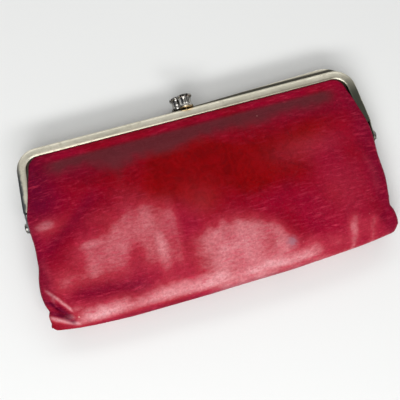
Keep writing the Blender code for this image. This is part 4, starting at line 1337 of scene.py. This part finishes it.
def build_zip_teeth(material):
    """Two rows of cast teeth that mesh in the middle, each row on its cord."""
    shape = bmesh.new()
    count = int(2 * CHAIN_HALF / ZIP_PITCH)
    for number in range(count):
        x = -CHAIN_HALF + (number + 0.5) * ZIP_PITCH
        from_low = number % 2 == 0
        low, high = (3.05, 4.9) if from_low else (3.75, 5.55)
        made = bmesh.ops.create_cube(shape, size=1.0)["verts"]
        for vert in made:
            head = (vert.co.y > 0) == from_low
            width = (0.98 if head else 0.62) * ZIP_PITCH
            across = 0.5 * (low + high) + vert.co.y * (high - low)
            height = 0.55 + vert.co.z * (1.15 if head else 0.9)
            vert.co = zip_point(x + vert.co.x * width, across, height)
    for low in (2.85, 5.35):
        made = bmesh.ops.create_cube(shape, size=1.0)["verts"]
        for vert in made:
            vert.co = zip_point(2.0 * vert.co.x * CHAIN_HALF, low + 0.2 + vert.co.y * 0.45,
                                0.52 + vert.co.z * 0.7)
    mesh = bpy.data.meshes.new("zip_teeth")
    bmesh.ops.translate(shape, verts=shape.verts, vec=(0.0, -ORIGIN_Y, 0.0))
    bmesh.ops.scale(shape, verts=shape.verts, vec=(MM, MM, MM))
    shape.to_mesh(mesh)
    shape.free()
    mesh.materials.append(material)
    teeth = add_object("zip_teeth", mesh)
    bevel = teeth.modifiers.new("worn edges", "BEVEL")
    bevel.width = 0.14 * MM
    bevel.segments = 2
    bevel.limit_method = "NONE"
    apply_modifiers(teeth)
    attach(teeth, BAG)
    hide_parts("zip_chain")


build_zip_teeth(brass)

# ---------------------------------------------------------------- card slots

CARD_HALF = 82.0
CARD_SLOTS = (("top", 56.0, 7.35), ("middle", 48.0, 8.2), ("bottom", 40.0, 9.05))


def build_card_slot(word, high_y, low_z):
    def card_height(across, y):
        bow = 0.12 * (1.0 - across**2) * smooth(POCKET_LOW, high_y, y)
        return low_z + 0.27 + 0.03 * waves(across * CARD_HALF, y, int(low_z * 10), 20.0) + bow

    cloth_grid(
        f"card_slot_{word}_leather",
        rounded_panel_grid(CARD_HALF, POCKET_LOW, high_y, PANEL_CORNER, card_height, 22, 61),
        THIN_LEATHER, dark_leather,
        [f"card_slot_{word}"],
    )


for word, high_y, low_z in CARD_SLOTS:
    build_card_slot(word, high_y, low_z)


def slot_seams():
    """Stitching round the card slots, down their middle, and along each slot's upper edge."""
    paths = []
    up = np.array([0.0, 0.0, 1.0])
    for _, high_y, z in CARD_SLOTS:
        x = np.linspace(-80.5, 80.5, 120)
        across = x / CARD_HALF
        height = z + 0.5 + 0.12 * (1.0 - across**2)
        paths.append((np.stack([x, np.full(120, high_y - 1.0), height], 1), np.tile(up, (120, 1))))
    for x in (-80.2, 0.0, 80.2):
        y = np.linspace(21.5, 38.0, 12)
        paths.append((np.stack([np.full(12, x), y, np.full(12, 9.58)], 1), np.tile(up, (12, 1))))
    x = np.linspace(-78.0, 78.0, 60)
    paths.append((np.stack([x, np.full(60, 21.6), np.full(60, 9.58)], 1), np.tile(up, (60, 1))))
    return paths


stitches("card_slot_stitches", slot_seams(), thread, BAG)

# ---------------------------------------------------------------- stage, light and camera


FLOOR_HALF = 3.0      # metres


def build_floor():
    made = Shader("table_top", roughness=0.6, specular=0.3)
    place = made.place()
    clouds = made.noise(place, 3.0, 3.0, 0.5)
    made.mottle(clouds, (0.745, 0.75, 0.745), (0.775, 0.78, 0.775))
    normal = made.bump(made.noise(place, 900.0, 2.0), 0.01, 0.3)
    material = made.finish(normal=normal)
    mesh = bpy.data.meshes.new("table_top")
    half = FLOOR_HALF
    mesh.from_pydata(
        [(-half, -half, 0.0), (half, -half, 0.0), (half, half, 0.0), (-half, half, 0.0)],
        [],
        [(0, 1, 2, 3)],
    )
    mesh.materials.append(material)
    floor = add_object("table_top", mesh)


def area_light(name, place, size, power):
    """A light that points at the origin."""
    data = bpy.data.lights.new(name, "AREA")
    data.shape = "RECTANGLE"
    data.size, data.size_y = size
    data.energy = power
    light = add_object(name, data)
    light.location = place
    light.rotation_euler = (-Vector(place)).to_track_quat("-Z", "Y").to_euler()
    light.visible_camera = False


def build_world():
    world = bpy.data.worlds.new("studio")
    world.use_nodes = True
    tree = world.node_tree
    background = tree.nodes["Background"]
    place = tree.nodes.new("ShaderNodeTexCoord")
    parts = tree.nodes.new("ShaderNodeSeparateXYZ")
    ramp = tree.nodes.new("ShaderNodeValToRGB")
    tree.links.new(place.outputs["Generated"], parts.inputs[0])
    tree.links.new(parts.outputs["Z"], ramp.inputs[0])
    ramp.color_ramp.elements[0].position = 0.0
    ramp.color_ramp.elements[0].color = rgb(0.52, 0.52, 0.515)
    ramp.color_ramp.elements[1].position = 0.95
    ramp.color_ramp.elements[1].color = rgb(0.30, 0.30, 0.295)
    side = tree.nodes.new("ShaderNodeMapRange")
    side.interpolation_type = "SMOOTHSTEP"
    tree.links.new(parts.outputs["X"], side.inputs["Value"])
    side.inputs["From Min"].default_value = -0.85
    side.inputs["From Max"].default_value = -0.35
    shade = tree.nodes.new("ShaderNodeMix")
    shade.data_type = "RGBA"
    tree.links.new(side.outputs[0], shade.inputs[0])
    shade.inputs[6].default_value = rgb(0.10, 0.105, 0.12)
    tree.links.new(ramp.outputs[0], shade.inputs[7])
    tree.links.new(shade.outputs[2], background.inputs["Color"])
    bpy.context.scene.world = world


CAMERA_LENS = 72.18
CAMERA_PLACE = (-0.0526, -0.08306, 0.4527)
CAMERA_AXES = (      # right, up and back
    (0.95966654, -0.27598432, 0.05359837),
    (0.26094519, 0.94534471, 0.19552743),
    (-0.10463144, -0.1736549, 0.97923247),
)


def build_camera():
    data = bpy.data.cameras.new("camera")
    data.lens = CAMERA_LENS
    data.sensor_width = 36.0
    data.clip_start = 0.01
    camera = add_object("camera", data)
    turn = Matrix(CAMERA_AXES).transposed()
    camera.matrix_world = Matrix.Translation(CAMERA_PLACE) @ turn.to_4x4()
    bpy.context.scene.camera = camera


build_floor()
build_world()
build_camera()
area_light("window", (-0.18, -0.84, 0.76), (1.25, 0.22), 8.0)
area_light("ceiling", (-0.33, -0.37, 0.98), (0.75, 0.56), 3.2)
area_light("wall", (0.1, 0.80, 0.82), (1.7, 0.30), 2.4)
bpy.context.scene.view_settings.view_transform = "Standard"
bpy.context.scene.view_settings.look = "Medium High Contrast"
